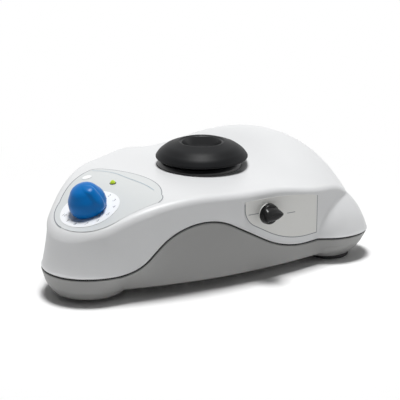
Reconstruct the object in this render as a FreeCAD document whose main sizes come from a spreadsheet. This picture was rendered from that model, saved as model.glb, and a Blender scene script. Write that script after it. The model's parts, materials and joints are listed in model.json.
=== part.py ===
"""Vortex mixer for test tubes: a low housing on three pods with a sprung, orbiting rubber cup.

Millimetres, real size. +Z is up, the nose with the speed knob points to -Y and the mode knob is on
the +X wall. The origin lies on the surface that the mixer stands on, under the middle of its outline.
"""
import FreeCAD
import Part
import Sketcher
import collections
import math
import operator
import os
from types import SimpleNamespace
from FreeCAD import Placement, Rotation, Vector

doc = FreeCAD.newDocument("vortex_mixer")
sheet = doc.addObject("Spreadsheet::Sheet", "sizes")

# Driving dimensions
DRIVING = {
    # plan outline: a nose circle and two rear corner circles, wrapped by wide bulging arcs
    "nose_y": -70.5, "nose_radius": 32.6, "corner_x": 65.8, "corner_y": 72.4, "corner_radius": 11,
    "side_radius": 330, "rear_radius": 105.68,
    # deck: centre height and crown radius at stations from the nose tip to the tail
    "tip_y": -106, "tip_z": 43, "tip_crown": 160,
    "dial_y": -84, "dial_z": 51.1, "dial_crown": 3000,
    "panel_y": -62, "panel_z": 59.2, "panel_crown": 3000,
    "brow_y": -40, "brow_z": 62.15, "brow_crown": 3700,
    "waist_y": -10, "waist_z": 61.1, "waist_crown": 1930,
    "seat_y": 20, "seat_z": 60, "seat_crown": 1500,
    "rise_y": 52, "rise_z": 63.5, "rise_crown": 250,
    "hump_y": 80, "hump_z": 73, "hump_crown": 120,
    "tail_y": 112, "tail_z": 58, "tail_crown": 63,
    "deck_margin": 8, "deck_end_half": 22, "deck_round": 5, "deck_steps": 3, "deck_columns": 8,
    # shells
    "wall": 2.8, "floor_bottom": 7, "floor_thick": 3,
    # pods: one under the nose, two at the rear corners
    "pod_bottom": 3, "bowl_z": 9.4, "bowl_round": 12, "pod_edge": 2.5,
    "nose_pod_y": -80.8, "nose_pod_radius": 29.2, "nose_bowl_lean": 2.4, "nose_bowl_foot": 6.6,
    "flare_radius": 19.5, "flare_z": 40, "flare_arc": 90,
    "rear_pod_x": 68.7, "rear_pod_y": 78.4, "rear_pod_radius": 21.3, "rear_bowl_lean": 2.3, "rear_bowl_foot": 7.3,
    "rear_foot_x": 66.5, "rear_foot_y": 74.9, "dome_radius": 3.5, "dome_z": 45, "dome_arc": 49.5,
    # seam between cover and base: level at the nose, up over an arch, level at the rear
    "seam_nose_y": -74.7, "seam_nose_z": 18.2, "seam_peak_y": -41.5, "seam_peak_z": 55.4,
    "seam_rear_y": 23.3, "seam_rear_z": 17.6, "seam_nose_round": 25, "seam_peak_round": 36,
    "seam_rear_round": 70, "gasket_thick": 1, "gasket_inset": 0.3, "gasket_width": 2,
    # cover screws and their bosses
    "screw_front_x": 29, "screw_front_y": -55, "screw_rear_x": 52, "screw_rear_y": 58,
    "boss_radius": 5.5, "boss_split_z": 24, "boss_gap": 0.3, "screw_radius": 2, "screw_bite": 11,
    "screw_head_radius": 3.8, "screw_head_height": 2.6, "screw_head_room": 0.4, "screw_sink": 3.5,
    # feet
    "foot_radius": 13.4, "foot_chamfer": 1.2, "foot_stem_radius": 4, "foot_stem": 6,
    # printed films
    "film": 0.3, "film_inset": 3.6, "film_right_x": 37.2, "film_right_y": -57, "film_rear_x": -14,
    "film_rear_y": -29, "film_left_x": -40, "film_left_y": -43.5, "film_hole_play": 0.6,
    "side_film_front_y": -7.6, "side_film_rear_y": 50, "side_film_front_z": 54, "side_film_mid_z": 53.2,
    "side_film_rear_z": 48, "side_film_lift": 5.3,
    # speed control on the sloping nose panel
    "knob_y": -78.7, "knob_radius": 11.9, "knob_height": 18.4, "knob_skirt": 4, "knob_waist_radius": 7.3,
    "knob_waist_drop": 3, "knob_side_arc": 17.5, "knob_gap": 0.6,
    "knob_hollow_radius": 9.6, "knob_hollow": 6, "knob_ridge": 1.4, "knob_ridge_width": 4.6,
    "knob_stem_radius": 5, "knob_stem_gap": 4.6, "shaft_radius": 3, "shaft_top": 13, "shaft_foot": 10,
    "bush_radius": 3.5, "bush_top": 4.2, "shaft_play": 0.05, "pot_radius": 8.5, "pot_top": 4,
    "pot_height": 9, "pot_shoulder_radius": 4.4, "nut_radius": 5.8, "nut_height": 2.2, "hole_play": 0.1,
    # power lamp
    "led_x": -8, "led_y": -50.8, "led_radius": 1.7, "led_rise": 0.6, "led_depth": 7, "led_collar": 2.9,
    # mode switch on the right wall
    "mode_y": 8.4, "mode_z": 44.5, "mode_radius": 6.8, "mode_skirt": 5, "mode_top": 9,
    "mode_tip": 7.6, "mode_fin": 5, "mode_fin_top": 3, "mode_hollow_radius": 5.5, "mode_hollow": 3.2, "mode_gap": 0.3,
    "mode_shaft_radius": 2.5, "mode_bush_radius": 3, "mode_bush_top": 2.7, "mode_nut_radius": 7.4,
    "mode_nut_height": 1.2, "mode_shaft_top": 7, "mode_shaft_foot": 9, "mode_box": 15, "mode_box_depth": 13,
    "mode_box_gap": 0.4,
    # head: cup, collar and hub
    "head_y": 20.7, "orbit": 2.25, "press_travel": 1.5, "collar_radius": 29.2, "collar_sink": 0.4,
    "collar_height": 3, "collar_round": 2, "collar_bore": 14.6, "neck_hole": 17, "collar_lip": 18.4,
    "collar_lip_height": 1, "collar_lip_gap": 0.3,
    "cup_clearance": 0.9, "cup_height": 11.5, "rim_radius": 30.5, "rim_rise": 1, "rim_tuck": 2.8,
    "cup_arc": 42, "lip_radius": 16, "lip_drop": 0.5, "dimple_radius": 13.9, "dimple_floor_radius": 5.5,
    "dimple_depth": 12, "dimple_arc": 18, "stem_radius": 11.5,
    # ball bearing in the hub
    "bearing_bore": 3, "bearing_inner": 5, "bearing_outer": 7.6, "bearing_radius": 9.5, "bearing_width": 6,
    "ball_radius": 1, "ball_count": 8, "hub_shoulder": 8.5, "hub_relief": 1.4,
    # crank, motor and sprung carriage
    "motor_gap": 3, "motor_height": 24, "motor_radius": 21, "motor_cap": 3, "motor_chamfer": 1.5,
    "motor_boss": 6, "motor_boss_height": 3.2, "motor_bore_floor": 5, "motor_shaft_radius": 2,
    "plate_thick": 2.5, "plate_radius": 39, "crank_gap": 1.5, "crank_height": 8, "crank_radius": 9,
    "crank_bore": 4.6, "crank_web": 0.6, "weight_radius": 17, "weight_height": 6, "hub_gap": 0.8,
    "motor_screw_circle": 13, "motor_screw_radius": 1.5, "motor_screw_length": 7, "motor_screw_head": 2.8,
    "motor_screw_head_height": 1.2, "window_circle": 26, "window_radius": 8,
    "post_circle": 33, "post_radius": 2.5, "post_play": 0.06, "post_rise": 3.4, "post_boss_radius": 6,
    "post_boss_height": 12, "post_bite": 7, "post_nut_radius": 4.6, "post_nut_height": 2.4, "post_nut_gap": 0.1,
    "spring_radius": 4.3, "wire_radius": 0.6, "spring_turns": 5, "spring_gap": 0.1,
    # neck boot between collar and hub
    "boot_gap": 0.3, "boot_wall": 1.1, "boot_height": 4.4, "boot_top_radius": 18,
    # touch sensor and its flag
    "flag_width": 6, "flag_thick": 1.2, "flag_drop": 15, "flag_inset": 1.5, "fork_slot": 3.6, "fork_arm": 3,
    "fork_width": 12, "fork_height": 9,
    # control board
    "board_half": 21, "board_front_y": -60, "board_rear_y": -9, "board_thick": 1.6, "board_lift": 5,
    "board_post_radius": 3.5, "board_post_inset": 4, "board_screw_radius": 1.4, "board_screw_bite": 4,
    "board_screw_head": 2.6, "board_screw_head_height": 1.6,
    # transformer
    "core_x": -34, "core_y": 80, "core_width": 32, "core_depth": 16, "core_height": 27, "coil_width": 20,
    "coil_depth": 28, "coil_height": 15,
    # power inlet in the rear wall
    "inlet_z": 34, "inlet_width": 27, "inlet_height": 20, "inlet_depth": 22, "inlet_face": 3,
    "inlet_flange_width": 31, "inlet_flange_height": 25, "inlet_flange": 2.2, "inlet_pad": 3,
    "inlet_play": 0.2, "socket_width": 24.2, "socket_height": 16.6, "socket_depth": 15, "socket_corner": 4,
    "blade_width": 2, "blade_height": 4, "blade_short": 2.5, "blade_pitch": 7, "live_drop": 1, "earth_rise": 3,
    # reach of the cutting prisms beyond the housing
    "reach": 160,
}
for row, (alias, value) in enumerate(DRIVING.items(), start=1):
    sheet.set(f"A{row}", alias)
    sheet.set(f"B{row}", str(value))
    sheet.setAlias(f"B{row}", alias)
doc.recompute()

SIGNS = {"+": operator.add, "-": operator.sub, "*": operator.mul, "/": operator.truediv}


class Size:
    """A length from the sheet, or a sum of such lengths: its value and the formula that binds it."""

    def __init__(self, value, formula):
        self.value = float(value)
        self.formula = formula

    def __float__(self):
        return self.value

    def __add__(self, other):
        return joined(self, "+", other)

    def __radd__(self, other):
        return joined(other, "+", self)

    def __sub__(self, other):
        return joined(self, "-", other)

    def __rsub__(self, other):
        return joined(other, "-", self)

    def __mul__(self, other):
        return joined(self, "*", other)

    def __rmul__(self, other):
        return joined(other, "*", self)

    def __truediv__(self, other):
        return joined(self, "/", other)

    def __neg__(self):
        return joined(0, "-", self)


def joined(left, sign, right):
    """Two sizes or numbers joined by a sign, in value and in formula."""
    words = [part.formula if isinstance(part, Size) else repr(float(part)) for part in (left, right)]
    return Size(SIGNS[sign](float(left), float(right)), f"({words[0]} {sign} {words[1]})")


d = SimpleNamespace(**{name: Size(sheet.get(name), f"sizes.{name}") for name in DRIVING})
v = SimpleNamespace(**{name: float(sheet.get(name)) for name in DRIVING})
nodes = []


# Building blocks


def keep(item):
    """List an object as one of the mixer's pieces."""
    nodes.append(item)
    return item


def bind(item, prop, size):
    """Set a property, and tie it to the sheet where its size comes from there."""
    if isinstance(size, Size):
        item.setExpression(prop, size.formula)
    else:
        setattr(item, prop, size)


def place(item, at, frame=None):
    """Put an object at a point, whose sizes stay tied to the sheet, or at a point of a frame."""
    point = Vector(*[float(x) for x in at])
    if frame is not None:
        item.Placement = frame.multiply(Placement(point, Rotation()))
        return item
    item.Placement = Placement(point, item.Placement.Rotation)
    for axis, size in zip("xyz", at):
        if isinstance(size, Size):
            item.setExpression(f"Placement.Base.{axis}", size.formula)
    return item


def cylinder(label, radius, height, at, frame=None):
    item = doc.addObject("Part::Cylinder", label)
    bind(item, "Radius", radius)
    bind(item, "Height", height)
    return place(item, at, frame)


def block(label, sides, at, frame=None):
    """A box whose least corner is at the point given."""
    item = doc.addObject("Part::Box", label)
    for prop, side in zip(("Length", "Width", "Height"), sides):
        bind(item, prop, side)
    return place(item, at, frame)


def hexagon(label, radius, height, at, frame=None):
    item = doc.addObject("Part::Prism", label)
    item.Polygon = 6
    bind(item, "Circumradius", radius)
    bind(item, "Height", height)
    return place(item, at, frame)


def fused(label, parts):
    item = doc.addObject("Part::MultiFuse", label)
    item.Shapes = parts
    item.Refine = True
    return item


def grouped(label, parts):
    item = doc.addObject("Part::Compound", label)
    item.Links = parts
    return item


def cut(label, base, tools):
    item = doc.addObject("Part::Cut", label)
    item.Base = base
    item.Tool = tools[0] if len(tools) == 1 else grouped(label + "_tools", tools)
    item.Refine = True
    return item


def shaped(label, shape, frame=None):
    """An object whose shape is worked out here from the sheet."""
    item = doc.addObject("Part::Feature", label)
    item.Shape = shape
    if frame is not None:
        item.Placement = frame
    return item


def arc_middle(start, end, radius):
    """Middle of the arc between two points: a positive radius puts its centre left of the way."""
    chord = end.sub(start)
    half = chord.Length / 2
    sag = abs(radius) - math.sqrt(radius * radius - half * half)
    right = Vector(chord.y, -chord.x, 0).normalize()
    return (start + end) * 0.5 + right * math.copysign(sag, radius)


def turned(label, corners, at=(0, 0, 0), frame=None):
    """A body turned about its upright axis from (radius, height) corners, listed anticlockwise.

    A third entry on a corner is the radius of the arc that runs from it to the next corner.
    """
    body = doc.addObject("PartDesign::Body", label)
    sketch = body.newObject("Sketcher::SketchObject", label + "_profile")
    plane = next(f for f in body.Origin.OriginFeatures if f.Role == "XZ_Plane")
    sketch.AttachmentSupport = (plane, [""])
    sketch.MapMode = "FlatFace"
    points = [Vector(float(c[0]), float(c[1]), 0) for c in corners]
    ends = []
    for i, corner in enumerate(corners):
        start, end = points[i], points[(i + 1) % len(points)]
        if len(corner) == 3:
            middle = arc_middle(start, end, float(corner[2]))
            sketch.addGeometry(Part.Arc(start, middle, end), False)
            index = sketch.addConstraint(Sketcher.Constraint("Radius", i, abs(float(corner[2]))))
            name_constraint(sketch, index, f"arc{i}", corner[2] if float(corner[2]) > 0 else -corner[2])
            ends.append((1, 2) if float(corner[2]) > 0 else (2, 1))
        else:
            sketch.addGeometry(Part.LineSegment(start, end), False)
            ends.append((1, 2))
    for i, corner in enumerate(corners):
        following = (i + 1) % len(corners)
        sketch.addConstraint(Sketcher.Constraint("Coincident", i, ends[i][1], following, ends[following][0]))
        for kind, size in zip(("DistanceX", "DistanceY"), corner):
            index = sketch.addConstraint(Sketcher.Constraint(kind, -1, 1, i, ends[i][0], float(size)))
            name_constraint(sketch, index, f"{kind}{i}", size)
    turn = body.newObject("PartDesign::Revolution", label + "_turn")
    turn.Profile = sketch
    turn.ReferenceAxis = (sketch, ["V_Axis"])
    turn.Angle = 360
    return place(body, at, frame)


def name_constraint(sketch, index, name, size):
    """Name a sketch dimension and tie it to the sheet where its size comes from there."""
    sketch.renameConstraint(index, name)
    if isinstance(size, Size):
        sketch.setExpression(f"Constraints.{name}", size.formula)


def rounded_path(points, radii):
    """Edges of an open path of straight runs with its inner corners rounded by tangent arcs."""
    edges = []
    last = points[0]
    for before, corner, after, radius in zip(points, points[1:], points[2:], radii):
        inward = (before - corner).normalize()
        outward = (after - corner).normalize()
        half = inward.getAngle(outward) / 2
        reach = radius / math.tan(half)
        start, end = corner + inward * reach, corner + outward * reach
        bisector = (inward + outward).normalize()
        middle = corner + bisector * (radius / math.sin(half) - radius)
        edges += [Part.makeLine(last, start), Part.Arc(start, middle, end).toShape()]
        last = end
    edges.append(Part.makeLine(last, points[-1]))
    return edges


def at_angles(count, circle, first=90):
    """Points evenly spaced on a circle about the motor axis, as offsets from it."""
    turns = [math.radians(first + i * 360 / count) for i in range(count)]
    return [(circle * math.cos(a), circle * math.sin(a)) for a in turns]


# Housing: plan outline, deck, pods and seam


def tangent_centre(first, first_radius, second, second_radius, reach):
    """Centre of the wide arc that wraps two circles from outside, to the left of first-to-second."""
    span = second - first
    a, b = reach - first_radius, reach - second_radius
    along = (a * a - b * b + span.Length ** 2) / (2 * span.Length)
    unit = Vector(span).normalize()
    left = Vector(-unit.y, unit.x, 0)
    return first + unit * along + left * math.sqrt(a * a - along * along)


NOSE = Vector(0, v.nose_y, 0)
CORNER = Vector(v.corner_x, v.corner_y, 0)
SIDE = tangent_centre(NOSE, v.nose_radius, CORNER, v.corner_radius, v.side_radius)
REAR = Vector(0, v.corner_y - math.sqrt((v.rear_radius - v.corner_radius) ** 2 - v.corner_x ** 2), 0)


def toward(centre, target, radius):
    return centre + (target - centre).normalize() * radius


def mirrored(point):
    return Vector(-point.x, point.y, point.z)


def plan_outline(inset):
    """The housing's outline in plan, drawn in by the inset: six tangent arcs."""
    nose_end = toward(SIDE, NOSE, v.side_radius - inset)
    side_mid = toward(SIDE, (NOSE + CORNER) * 0.5, v.side_radius - inset)
    side_end = toward(SIDE, CORNER, v.side_radius - inset)
    rear_end = toward(REAR, CORNER, v.rear_radius - inset)
    corner_mid = toward(CORNER, (side_end + rear_end) * 0.5, v.corner_radius - inset)
    front = NOSE - Vector(0, v.nose_radius - inset, 0)
    back = REAR + Vector(0, v.rear_radius - inset, 0)
    half = [(nose_end, side_mid, side_end), (side_end, corner_mid, rear_end)]
    other = [tuple(mirrored(p) for p in reversed(arc)) for arc in reversed(half)]
    nose_arc = (mirrored(nose_end), front, nose_end)
    rear_arc = (rear_end, back, mirrored(rear_end))
    arcs = [nose_arc] + half + [rear_arc] + other
    return Part.Wire([Part.Arc(*arc).toShape() for arc in arcs])


def half_width(y):
    """Half the housing's width in plan at a station along Y."""
    for centre, radius, end in (
        (NOSE, v.nose_radius, toward(SIDE, NOSE, v.side_radius).y),
        (SIDE, v.side_radius, toward(SIDE, CORNER, v.side_radius).y),
        (CORNER, v.corner_radius, toward(REAR, CORNER, v.rear_radius).y),
        (REAR, v.rear_radius, REAR.y + v.rear_radius),
    ):
        if y <= end:
            return centre.x + math.sqrt(max(radius ** 2 - (y - centre.y) ** 2, 0))
    return 0.0


def spline(xs, ys):
    """A natural cubic curve through the points, as a function."""
    gaps = [b - a for a, b in zip(xs, xs[1:])]
    slopes = [(b - a) / gap for a, b, gap in zip(ys, ys[1:], gaps)]
    upper, right = [0.0], [0.0]
    for i in range(1, len(gaps)):
        pivot = 2 * (gaps[i - 1] + gaps[i]) - gaps[i - 1] * upper[-1]
        right.append((6 * (slopes[i] - slopes[i - 1]) - gaps[i - 1] * right[-1]) / pivot)
        upper.append(gaps[i] / pivot)
    bends = [0.0]
    for share, part in zip(reversed(upper), reversed(right)):
        bends.insert(0, part - share * bends[0])

    def value(x):
        i = max(k for k in range(len(gaps)) if k == 0 or xs[k] <= x)
        low, high, gap = xs[i + 1] - x, x - xs[i], gaps[i]
        cubic = (bends[i] * low ** 3 + bends[i + 1] * high ** 3) / (6 * gap)
        return cubic + (ys[i] / gap - bends[i] * gap / 6) * low + (ys[i + 1] / gap - bends[i + 1] * gap / 6) * high

    return value


def deck_block(inset):
    """Everything under the deck: one smooth face through crowned sections, lowered by the inset."""
    names = ("tip", "dial", "panel", "brow", "waist", "seat", "rise", "hump", "tail")
    ys, heights, crowns = ([getattr(v, f"{name}_{part}") for name in names] for part in ("y", "z", "crown"))
    height, bend = spline(ys, heights), spline(ys, [1 / crown for crown in crowns])
    steps = range(round(v.deck_steps))
    places = [a + (b - a) * k / len(steps) for a, b in zip(ys, ys[1:]) for k in steps] + ys[-1:]
    rows = []
    for y in places:
        half = max(half_width(y), v.deck_end_half) + v.deck_margin
        xs = [half * (k / v.deck_columns * 2 - 1) for k in range(round(v.deck_columns) + 1)]
        drops = [x * x * bend(y) / (1 + math.sqrt(1 - (x * bend(y)) ** 2)) for x in xs]
        rows.append([Vector(x, y, height(y) - drop - inset) for x, drop in zip(xs, drops)])
    deck = Part.BSplineSurface()
    deck.interpolate(rows)
    return deck.toShape().extrude(Vector(0, 0, -v.reach))


def prism(wire, bottom, top):
    """A flat outline stood up between two heights."""
    face = Part.Face(wire)
    face.translate(Vector(0, 0, bottom))
    return face.extrude(Vector(0, 0, top - bottom))


def spun(edges):
    """A solid turned about the upright axis from the edges of its half section."""
    ends = edges[0].Vertexes[0].Point, edges[-1].Vertexes[-1].Point
    foot, top = (Vector(0, 0, end.z) for end in ends)
    closing = [Part.makeLine(ends[1], top), Part.makeLine(top, foot)]
    if ends[0].x > 0:
        closing.append(Part.makeLine(foot, ends[0]))
    return Part.Face(Part.Wire(Part.sortEdges(edges + closing)[0])).revolve(Vector(), Vector(0, 0, 1), 360)


def bowl(pod, inset):
    """A pod below the seam: a turned bowl, slanted so that its bottom stands over the foot."""
    foot = Vector(pod.radius - pod.bowl_foot - inset, 0, v.pod_bottom + inset)
    low = Vector(pod.radius - pod.bowl_lean - inset, 0, v.bowl_z)
    seam = Vector(pod.radius - inset, 0, v.seam_rear_z)
    solid = spun(rounded_path([Vector(0, 0, foot.z), foot, low, seam], [v.pod_edge, v.bowl_round]))
    slant = (pod.foot - pod.centre) * (1 / (v.pod_bottom - v.seam_rear_z))
    if slant.Length > 0:
        shear = FreeCAD.Matrix()
        shear.A13, shear.A14 = slant.x, -slant.x * v.seam_rear_z
        shear.A23, shear.A24 = slant.y, -slant.y * v.seam_rear_z
        solid = solid.transformGeometry(shear)
    solid.translate(pod.centre)
    return solid


def crown(pod, inset):
    """A pod above the seam, turned about its upright axis."""
    solid = spun(pod.crown(Vector(pod.radius - inset, 0, v.seam_rear_z), inset))
    solid.translate(pod.centre)
    return solid


def crown_arc(seam, top, radius):
    """An arc from the seam up to the crown's top; a positive radius bulges outwards."""
    middle = arc_middle(Vector(seam.x, seam.z, 0), Vector(top.x, top.z, 0), radius)
    return [Part.Arc(seam, Vector(middle.x, 0, middle.y), top).toShape()]


def flare(seam, inset):
    """The nose pod's crown: one hollow arc that runs up into the nose."""
    return crown_arc(seam, Vector(v.flare_radius - inset, 0, v.flare_z - inset), -v.flare_arc)


def dome(seam, inset):
    """A rear pod's crown: one bulging arc that runs up into the deck's corner."""
    return crown_arc(seam, Vector(v.dome_radius - inset, 0, v.dome_z - inset), v.dome_arc - inset)


Pod = collections.namedtuple("Pod", "centre foot radius bowl_lean bowl_foot crown")
NOSE_POD = Vector(0, v.nose_pod_y, 0)
REAR_POD, REAR_FOOT = Vector(v.rear_pod_x, v.rear_pod_y, 0), Vector(v.rear_foot_x, v.rear_foot_y, 0)
REAR_FORM = v.rear_pod_radius, v.rear_bowl_lean, v.rear_bowl_foot, dome
PODS = [
    Pod(NOSE_POD, NOSE_POD, v.nose_pod_radius, v.nose_bowl_lean, v.nose_bowl_foot, flare),
    Pod(REAR_POD, REAR_FOOT, *REAR_FORM),
    Pod(mirrored(REAR_POD), mirrored(REAR_FOOT), *REAR_FORM),
]


def middle_block(inset, bottom):
    """The housing between the pods: the outline stood up, cut by the deck, its deck edge rounded."""
    solid = prism(plan_outline(inset), bottom, v.reach).common(deck_block(inset))
    deck = max(solid.Faces, key=lambda face: face.CenterOfMass.z)
    return solid.makeFillet(v.deck_round - inset, deck.Edges)


def hull(inset, bottom):
    """The whole housing's outside, or its inside when drawn in by a wall."""
    pods = [half(pod, inset) for pod in PODS for half in (bowl, crown)]
    return middle_block(inset, bottom).fuse(pods).removeSplitter()


def seam_points(lift):
    """Corners of the seam in side view, each straight run moved square to itself by the lift."""
    corners = [
        Vector(0, -v.reach, v.seam_nose_z), Vector(0, v.seam_nose_y, v.seam_nose_z),
        Vector(0, v.seam_peak_y, v.seam_peak_z), Vector(0, v.seam_rear_y, v.seam_rear_z),
        Vector(0, v.reach, v.seam_rear_z),
    ]
    runs = []
    for start, end in zip(corners, corners[1:]):
        unit = (end - start).normalize()
        runs.append((start + Vector(0, -unit.z, unit.y) * lift, unit))
    moved = [runs[0][0]]
    for (start, unit), (other, turn) in zip(runs, runs[1:]):
        gap = other - start
        along = (gap.y * turn.z - gap.z * turn.y) / (unit.y * turn.z - unit.z * turn.y)
        moved.append(start + unit * along)
    return moved + [corners[-1] + Vector(0, 0, lift)]


def above_seam(lift):
    """Everything above the seam, raised square to itself by the lift."""
    points = seam_points(lift)
    rounds = [v.seam_nose_round - lift, v.seam_peak_round + lift, v.seam_rear_round - lift]
    edges = rounded_path(points, rounds)
    top_rear, top_front = Vector(0, v.reach, v.reach), Vector(0, -v.reach, v.reach)
    edges += [Part.makeLine(points[-1], top_rear), Part.makeLine(top_rear, top_front)]
    edges.append(Part.makeLine(top_front, points[0]))
    face = Part.Face(Part.Wire(edges))
    face.translate(Vector(-v.reach, 0, 0))
    return face.extrude(Vector(2 * v.reach, 0, 0))


outside = hull(0, v.floor_bottom)
inside = hull(v.wall, v.floor_bottom + v.floor_thick)
deck_top = max(deck_block(0).Faces, key=lambda face: face.normalAt(*face.Surface.parameter(
    Vector(0, v.head_y, v.seat_z))).z)
deck_solid = deck_block(0)


def deck_frame(x, y):
    """Where a control stands on the deck: the point, with the deck's normal as its upright."""
    column = Part.makeLine(Vector(x, y, 0), Vector(x, y, v.reach)).common(deck_solid)
    point = max((vertex.Point for vertex in column.Vertexes), key=lambda p: p.z)
    normal = deck_top.normalAt(*deck_top.Surface.parameter(point))
    return Placement(point, Rotation(Vector(1, 0, 0), Vector(), normal, "ZXY"))


def wall_frame(y, z):
    """Where a control stands on the right wall: X runs to the rear, Y up and Z straight out."""
    point = Vector(SIDE.x + math.sqrt(v.side_radius ** 2 - (y - SIDE.y) ** 2), y, z)
    normal = (point - Vector(SIDE.x, SIDE.y, z)).normalize()
    return Placement(point, Rotation(Vector(-normal.y, normal.x, 0), Vector(0, 0, 1), normal, "ZXY"))


def column(radius, bottom, top, x=0.0, y=0.0, frame=None):
    """A plain round bar for the housing's bosses and holes."""
    bar = Part.makeCylinder(radius, top - bottom, Vector(x, y, bottom))
    if frame is not None:
        bar.Placement = frame.multiply(bar.Placement)
    return bar


KNOB = deck_frame(0, v.knob_y)
LED = deck_frame(v.led_x, v.led_y)
MODE = wall_frame(v.mode_y, v.mode_z)

# Heights up the drive, from the base floor to the top of the cup
floor_z = d.floor_bottom + d.floor_thick
motor_z = floor_z + d.motor_gap
plate_z = motor_z + d.motor_height
plate_top = plate_z + d.plate_thick
crank_z = plate_top + d.crank_gap
hub_z = crank_z + d.crank_height + d.hub_gap
under_z = d.seat_z - d.wall
seat_z = d.seat_z - d.collar_sink
collar_top = seat_z + d.collar_height
stem_z = d.seat_z
cup_z = collar_top + d.press_travel + d.cup_clearance
cup_top = cup_z + d.cup_height

screw_places = [
    (sign * x, y) for x, y in ((v.screw_front_x, v.screw_front_y), (v.screw_rear_x, v.screw_rear_y))
    for sign in (1, -1)
]
post_places = [(x, y + v.head_y) for x, y in at_angles(3, v.post_circle)]
board_x = v.board_half - v.board_post_inset
board_places = [
    (x, y) for x in (-board_x, board_x)
    for y in (v.board_front_y + v.board_post_inset, v.board_rear_y - v.board_post_inset)
]
board_z = floor_z + d.board_lift
rear_y = REAR.y + v.rear_radius
inlet_y = rear_y - v.inlet_face


def centred_block(width, depth, height, y_end, z_mid):
    """A box centred on the middle plane that ends at y_end."""
    return Part.makeBox(width, depth, height, Vector(-width / 2, y_end - depth, z_mid - height / 2))


def make_top_cover():
    """The moulded cover: hull above the seam, hollow, with screw bosses and the control holes."""
    shell = outside.common(above_seam(v.gasket_thick / 2)).cut(inside)
    inner = middle_block(v.wall / 2, v.floor_bottom)
    start = v.boss_split_z + v.boss_gap
    bosses = [column(v.boss_radius, start, v.reach, *spot).common(inner) for spot in screw_places]
    pad_width, pad_height = v.inlet_flange_width + v.inlet_pad, v.inlet_flange_height + v.inlet_pad
    pad = centred_block(pad_width, v.inlet_pad + v.inlet_face, pad_height, rear_y, v.inlet_z).common(inner)
    shell = shell.fuse(bosses + [pad])
    holes = [column(v.screw_radius, start, v.boss_split_z + v.screw_bite, *spot) for spot in screw_places]
    holes.append(column(v.neck_hole, float(under_z) - v.wall, v.reach, 0, v.head_y))
    holes.append(column(v.collar_radius + v.hole_play, float(seat_z), v.reach, 0, v.head_y))
    through = 2 * v.wall
    for frame, radius in ((KNOB, v.bush_radius), (LED, v.led_radius), (MODE, v.mode_bush_radius)):
        holes.append(column(radius + v.hole_play, -through, through, frame=frame))
    play = 2 * v.inlet_play
    recess = (v.inlet_flange_width + play, v.inlet_face + v.wall, v.inlet_flange_height + play)
    holes.append(centred_block(*recess, inlet_y + recess[1], v.inlet_z))
    holes.append(centred_block(v.inlet_width + play, v.reach, v.inlet_height + play, v.reach, v.inlet_z))
    holes[-1] = holes[-1].common(centred_block(v.reach, v.reach / 2, v.reach, v.reach, v.inlet_z))
    return shell.cut(holes).removeSplitter()


def make_base_pan():
    """The cast base: hull below the seam, hollow over its floor, with bosses for screws and posts."""
    shell = outside.cut(above_seam(-v.gasket_thick / 2)).cut(inside)
    floor = float(floor_z)
    bosses = [column(v.boss_radius, floor, v.boss_split_z, *spot) for spot in screw_places]
    bosses += [column(v.post_boss_radius, floor, floor + v.post_boss_height, *spot) for spot in post_places]
    bosses += [column(v.board_post_radius, floor, float(board_z), *spot) for spot in board_places]
    shell = shell.fuse(bosses)
    head = v.screw_head_radius + v.screw_head_room
    sink = v.floor_bottom + v.screw_sink
    holes = []
    for spot in screw_places:
        holes.append(column(head, v.floor_bottom, sink, *spot))
        holes.append(column(v.screw_radius, sink, v.boss_split_z, *spot))
    post_top = floor + v.post_boss_height
    holes += [column(v.post_radius, post_top - v.post_bite, post_top, *spot) for spot in post_places]
    grip = float(board_z) - v.board_screw_bite
    holes += [column(v.board_screw_radius, grip, float(board_z), *spot) for spot in board_places]
    for pod in PODS:
        holes.append(column(v.foot_stem_radius, v.pod_bottom, v.pod_bottom + v.foot_stem, pod.foot.x, pod.foot.y))
    return shell.cut(holes).removeSplitter()


def make_gasket():
    """The rubber strip in the seam, a little inside the faces of cover and base."""
    ring = hull(v.gasket_inset, v.floor_bottom).cut(hull(v.gasket_inset + v.gasket_width, v.floor_bottom))
    half = v.gasket_thick / 2
    return ring.common(above_seam(-half)).cut(above_seam(half))


def make_front_film():
    """The printed film on the nose panel, laid over the deck, with holes for the knob and the lamp."""
    radius = v.nose_radius - v.film_inset
    lean = math.radians(20)
    side = Vector(radius * math.cos(lean), v.nose_y - radius * math.sin(lean), 0)
    right = Vector(v.film_right_x, v.film_right_y, 0)
    right_end = right + Vector(-6.2, 9.4, 0)
    left = Vector(v.film_left_x, v.film_left_y, 0)
    left_end = left + Vector(4, 9, 0)
    arcs = [
        (mirrored(side), NOSE - Vector(0, radius, 0), side),
        (right, right + Vector(-1.3, 4.7, 0), right_end),
        (right_end, Vector(v.film_rear_x, v.film_rear_y, 0), left_end),
        (left_end, left + Vector(0.6, 5.5, 0), left),
        (left, (left + mirrored(side)) * 0.5 + Vector(-2, -1, 0), mirrored(side)),
    ]
    edges = [Part.Arc(*arc).toShape() for arc in arcs]
    edges.insert(1, Part.makeLine(side, right))
    skin = middle_block(-v.film, v.floor_bottom).cut(middle_block(0, v.floor_bottom))
    film = skin.common(prism(Part.Wire(edges), v.floor_bottom, v.reach))
    for frame, hole in ((KNOB, v.bush_radius), (LED, v.led_radius)):
        film = film.cut(column(hole + v.film_hole_play, -v.wall, v.wall, frame=frame))
    return film


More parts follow.
